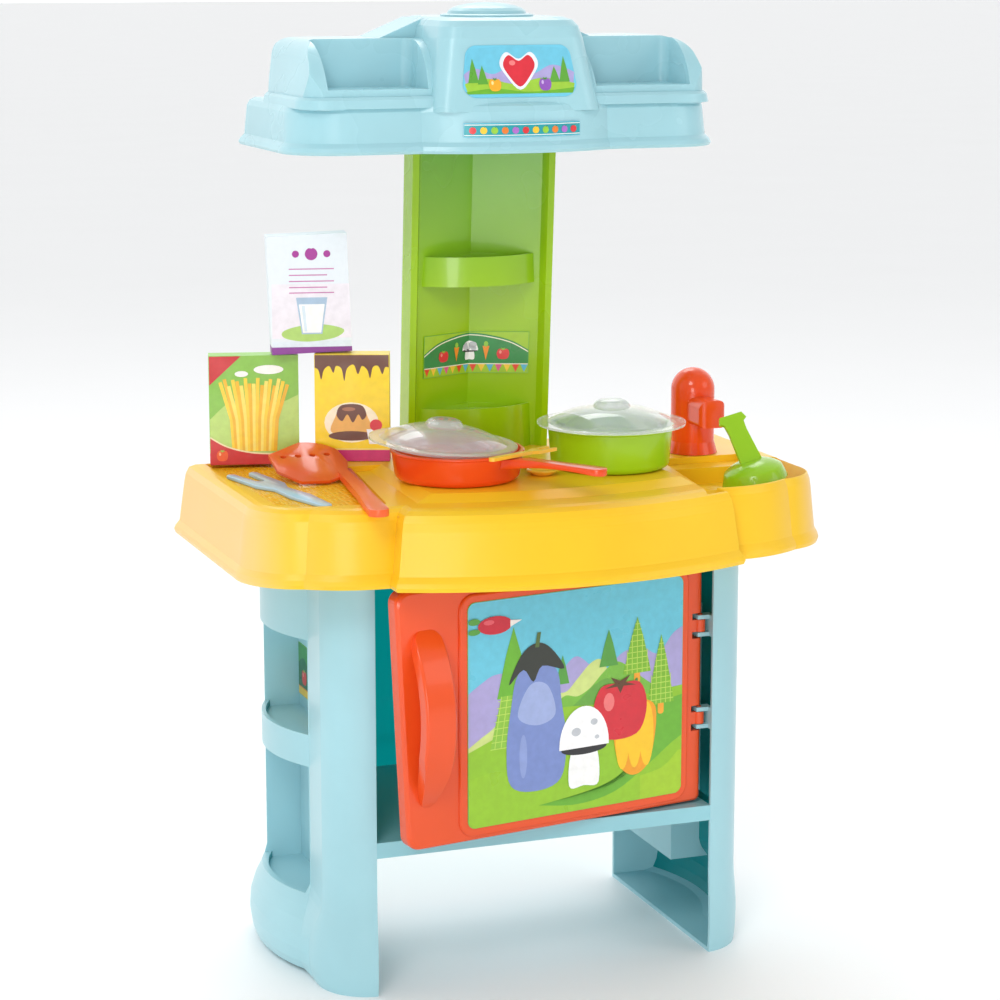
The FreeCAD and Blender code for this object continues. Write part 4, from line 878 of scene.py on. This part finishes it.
def weave_board():
    """A basket weave of low bars over the chopping board's floor."""
    mesh = bmesh.new()
    for i in range(WEAVE_CELLS):
        for j in range(WEAVE_CELLS):
            x, y = -203 + WEAVE_PITCH * (i + 0.5), -78 + WEAVE_PITCH * (j + 0.5)
            joined = 38 < y < 52 and -199 < x < -147
            if not (joined or any(inside((x, y), part, 4.5) for part in BOARD)):
                continue
            for off in (-BAR_OFF, BAR_OFF):
                if (i + j) % 2:
                    add_pillow(mesh, x, y + off, BAR_LONG, BAR_SHORT, WEAVE_LOW, WEAVE_HIGH)
                else:
                    add_pillow(mesh, x + off, y, BAR_SHORT, BAR_LONG, WEAVE_LOW, WEAVE_HIGH)
    piece = made("board_weave", mesh, looks["weave"])
    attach(piece, "kitchen")


weave_board()


# ---------------------------------------------------------------- studio


FLOOR_HALF = 40.0
LOOK_AT = Vector((0, 0, 0.35))


def studio():
    """A plain pale floor, a pale surround and four soft lights."""
    floor = bpy.data.meshes.new("floor")
    floor.from_pydata([(u, v, 0) for u, v in rect(-FLOOR_HALF, -FLOOR_HALF, FLOOR_HALF,
                                                  FLOOR_HALF)], [], [(0, 1, 2, 3)])
    stage = bpy.data.objects.new("floor", floor)
    bpy.context.scene.collection.objects.link(stage)
    n = Nodes("pale_floor")
    tone = n.mix(n.noise(3.0, 2.0), srgb(250, 250, 250), srgb(253, 253, 253))
    n.surface(Base_Color=tone)
    n.shader.inputs["Roughness"].default_value = 0.6
    floor.materials.append(n.material)

    world = bpy.data.worlds.new("surround")
    world.use_nodes = True
    back = world.node_tree.nodes["Background"]
    back.inputs["Color"].default_value = srgb(250, 251, 252)
    tree = world.node_tree
    way = tree.nodes.new("ShaderNodeTexCoord")
    parts = tree.nodes.new("ShaderNodeSeparateXYZ")
    glow = tree.nodes.new("ShaderNodeMapRange")
    for socket, number in (("From Min", -0.3), ("From Max", 0.7), ("To Min", 0.5),
                           ("To Max", 1.45)):
        glow.inputs[socket].default_value = number
    tree.links.new(way.outputs["Generated"], parts.inputs[0])
    tree.links.new(parts.outputs["Y"], glow.inputs["Value"])
    tree.links.new(glow.outputs["Result"], back.inputs["Strength"])
    bpy.context.scene.world = world
    # The default view transform greys the toy's strong colours.
    bpy.context.scene.view_settings.view_transform = "Standard"

    for name, spot, size, power in (("key", (-1.6, -2.2, 2.6), 1.2, 30),
                                    ("fill", (2.2, -1.8, 1.4), 1.6, 9),
                                    ("front", (-1.0, -2.4, 0.5), 0.9, 13),
                                    ("rim", (0.4, 1.8, 2.4), 1.4, 14)):
        light = bpy.data.lights.new(name, "AREA")
        light.shape = "DISK"
        light.size, light.energy = size, power
        lamp = bpy.data.objects.new(name, light)
        lamp.location = spot
        aim = LOOK_AT - Vector(spot)
        lamp.rotation_euler = aim.to_track_quat("-Z", "Y").to_euler()
        bpy.context.scene.collection.objects.link(lamp)


def aim_camera():
    """The photograph's viewing angle: from the front left, a little above."""
    data = bpy.data.cameras.new("camera")
    data.lens, data.sensor_width = 100.3, 36.0
    camera = bpy.data.objects.new("camera", data)
    turn, dip = math.radians(20.5), math.radians(11.12)
    look = Vector((math.sin(turn) * math.cos(dip), math.cos(turn) * math.cos(dip),
                   -math.sin(dip)))
    camera.location = (-0.7114, -1.8705, 0.7354)
    camera.rotation_euler = look.to_track_quat("-Z", "Y").to_euler()
    bpy.context.scene.collection.objects.link(camera)
    bpy.context.scene.camera = camera


studio()
aim_camera()
